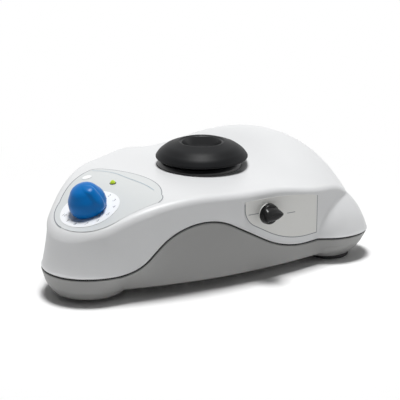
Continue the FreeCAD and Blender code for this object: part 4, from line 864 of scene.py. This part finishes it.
# The dark line round the film's front, lower and rear edges is painted shade: the shadow in the recess the
# film sits in
front_run = np.linspace(upper[-1], lower[0], 12)[:-1]
rear_run = np.linspace(lower[-1], upper[0], 20)[1:]
line_print("side_film_edge_shade", np.concatenate([front_run[3:], lower, rear_run]), 0.5, LINE_LIFT, shade_and_print_grey,
           place=on_side)
SIDE_MARKS = [("front_mark", (-5.2, 45.5), (2.7, 45.3)), ("rear_mark", (24.2, 41.2), (30.8, 40.8))]
for name, start, end in SIDE_MARKS:
    line_print(name, np.linspace(start, end, 8), 0.45, LINE_LIFT, shade_and_print_grey, place=on_side)


# Studio: pale floor, soft boxes and the camera at the photograph's angle, in metres

WHITE = lit("#FFFFFF")
# The floor's paper goes over into the white background between these distances from the middle
FLOOR_FADE = 0.13, 0.3
ROOM_LIGHT = 0.02
AIM = (0, 0, 0.03)


def seen_directly(tree):
    """One for rays from the camera, a mirror or clear glass: the largest of the three flags."""
    rays = node(tree, "ShaderNodeLightPath").outputs
    seen = rays["Is Camera Ray"]
    for ray in ("Is Glossy Ray", "Is Transmission Ray"):
        either = node(tree, "ShaderNodeMath", {"operation": "MAXIMUM"})
        tree.links.new(seen, either.inputs[0])
        tree.links.new(rays[ray], either.inputs[1])
        seen = either.outputs[0]
    return seen


def mixed_into(tree, share, first, second, end):
    """Two shaders mixed by a share and sent to the tree's output node."""
    mixed = node(tree, "ShaderNodeMixShader")
    for i, output in enumerate((share, first.outputs[0], second.outputs[0])):
        tree.links.new(output, mixed.inputs[i])
    tree.links.new(mixed.outputs[0], tree.nodes[end].inputs["Surface"])


def turned_to(item, at, aim):
    """Put a lamp or camera at a place, looking at the aim."""
    item.location = at
    item.rotation_euler = (Vector(aim) - Vector(at)).to_track_quat("-Z", "Y").to_euler()


def soft_box(name, at, size, power):
    """A flat lamp of a width and height at a place, looking at the middle of the object."""
    lamp = bpy.data.lights.new(name, "AREA")
    lamp.shape, lamp.size, lamp.size_y, lamp.energy = "RECTANGLE", size[0], size[1], power
    turned_to(placed(name, lamp), at, AIM)


floor_mesh = bpy.data.meshes.new("floor")
floor_mesh.from_pydata([(-1, -1, 0), (1, -1, 0), (1, 1, 0), (-1, 1, 0)], [], [(0, 1, 2, 3)])
floor = placed("floor", floor_mesh)
# Matt white backdrop paper: takes the shadow near the object, and is the background's white further out
floor_white = bpy.data.materials.new("studio_paper")
floor_white.use_nodes = True
tree = floor_white.node_tree
paper = tree.nodes["Principled BSDF"]
paper.inputs["Base Color"].default_value = lit("#FAFAFA")
paper.inputs["Roughness"].default_value = 0.7
distance = node(tree, "ShaderNodeVectorMath", {"operation": "LENGTH"})
tree.links.new(node(tree, "ShaderNodeTexCoord").outputs["Object"], distance.inputs[0])
fade = node(tree, "ShaderNodeMapRange", {
    "interpolation_type": "SMOOTHSTEP", "From Min": FLOOR_FADE[0], "From Max": FLOOR_FADE[1],
}, Value=distance.outputs["Value"])
far = node(tree, "ShaderNodeMath", {"operation": "MULTIPLY"})
tree.links.new(fade.outputs["Result"], far.inputs[0])
tree.links.new(seen_directly(tree), far.inputs[1])
glow = node(tree, "ShaderNodeEmission", {"Color": WHITE, "Strength": 1.0})
mixed_into(tree, far.outputs[0], paper, glow, "Material Output")
floor_mesh.materials.append(floor_white)

world = bpy.data.worlds.new("studio")
bpy.context.scene.world = world
world.use_nodes = True
tree = world.node_tree
room = tree.nodes["Background"]
room.inputs["Color"].default_value = WHITE
room.inputs["Strength"].default_value = ROOM_LIGHT
bright = node(tree, "ShaderNodeBackground", {"Color": WHITE, "Strength": 1.0})
mixed_into(tree, seen_directly(tree), room, bright, "World Output")

soft_box("top_box", (0.0, 0.0, 1.6), (0.45, 0.45), 26)
soft_box("left_box", (-0.9, -0.5, 0.5), (0.8, 0.6), 0.3)
soft_box("rear_right_box", (0.8, 0.8, 0.45), (0.7, 0.5), 1.2)

lens = bpy.data.cameras.new("camera")
lens.sensor_width, lens.lens = 36, 133.8
camera = placed("camera", lens)
turned_to(camera, (0.6277, -0.6732, 0.3357), (-0.0106, 0.0333, 0.030))
bpy.context.scene.camera = camera
bpy.context.scene.view_settings.view_transform = "Standard"
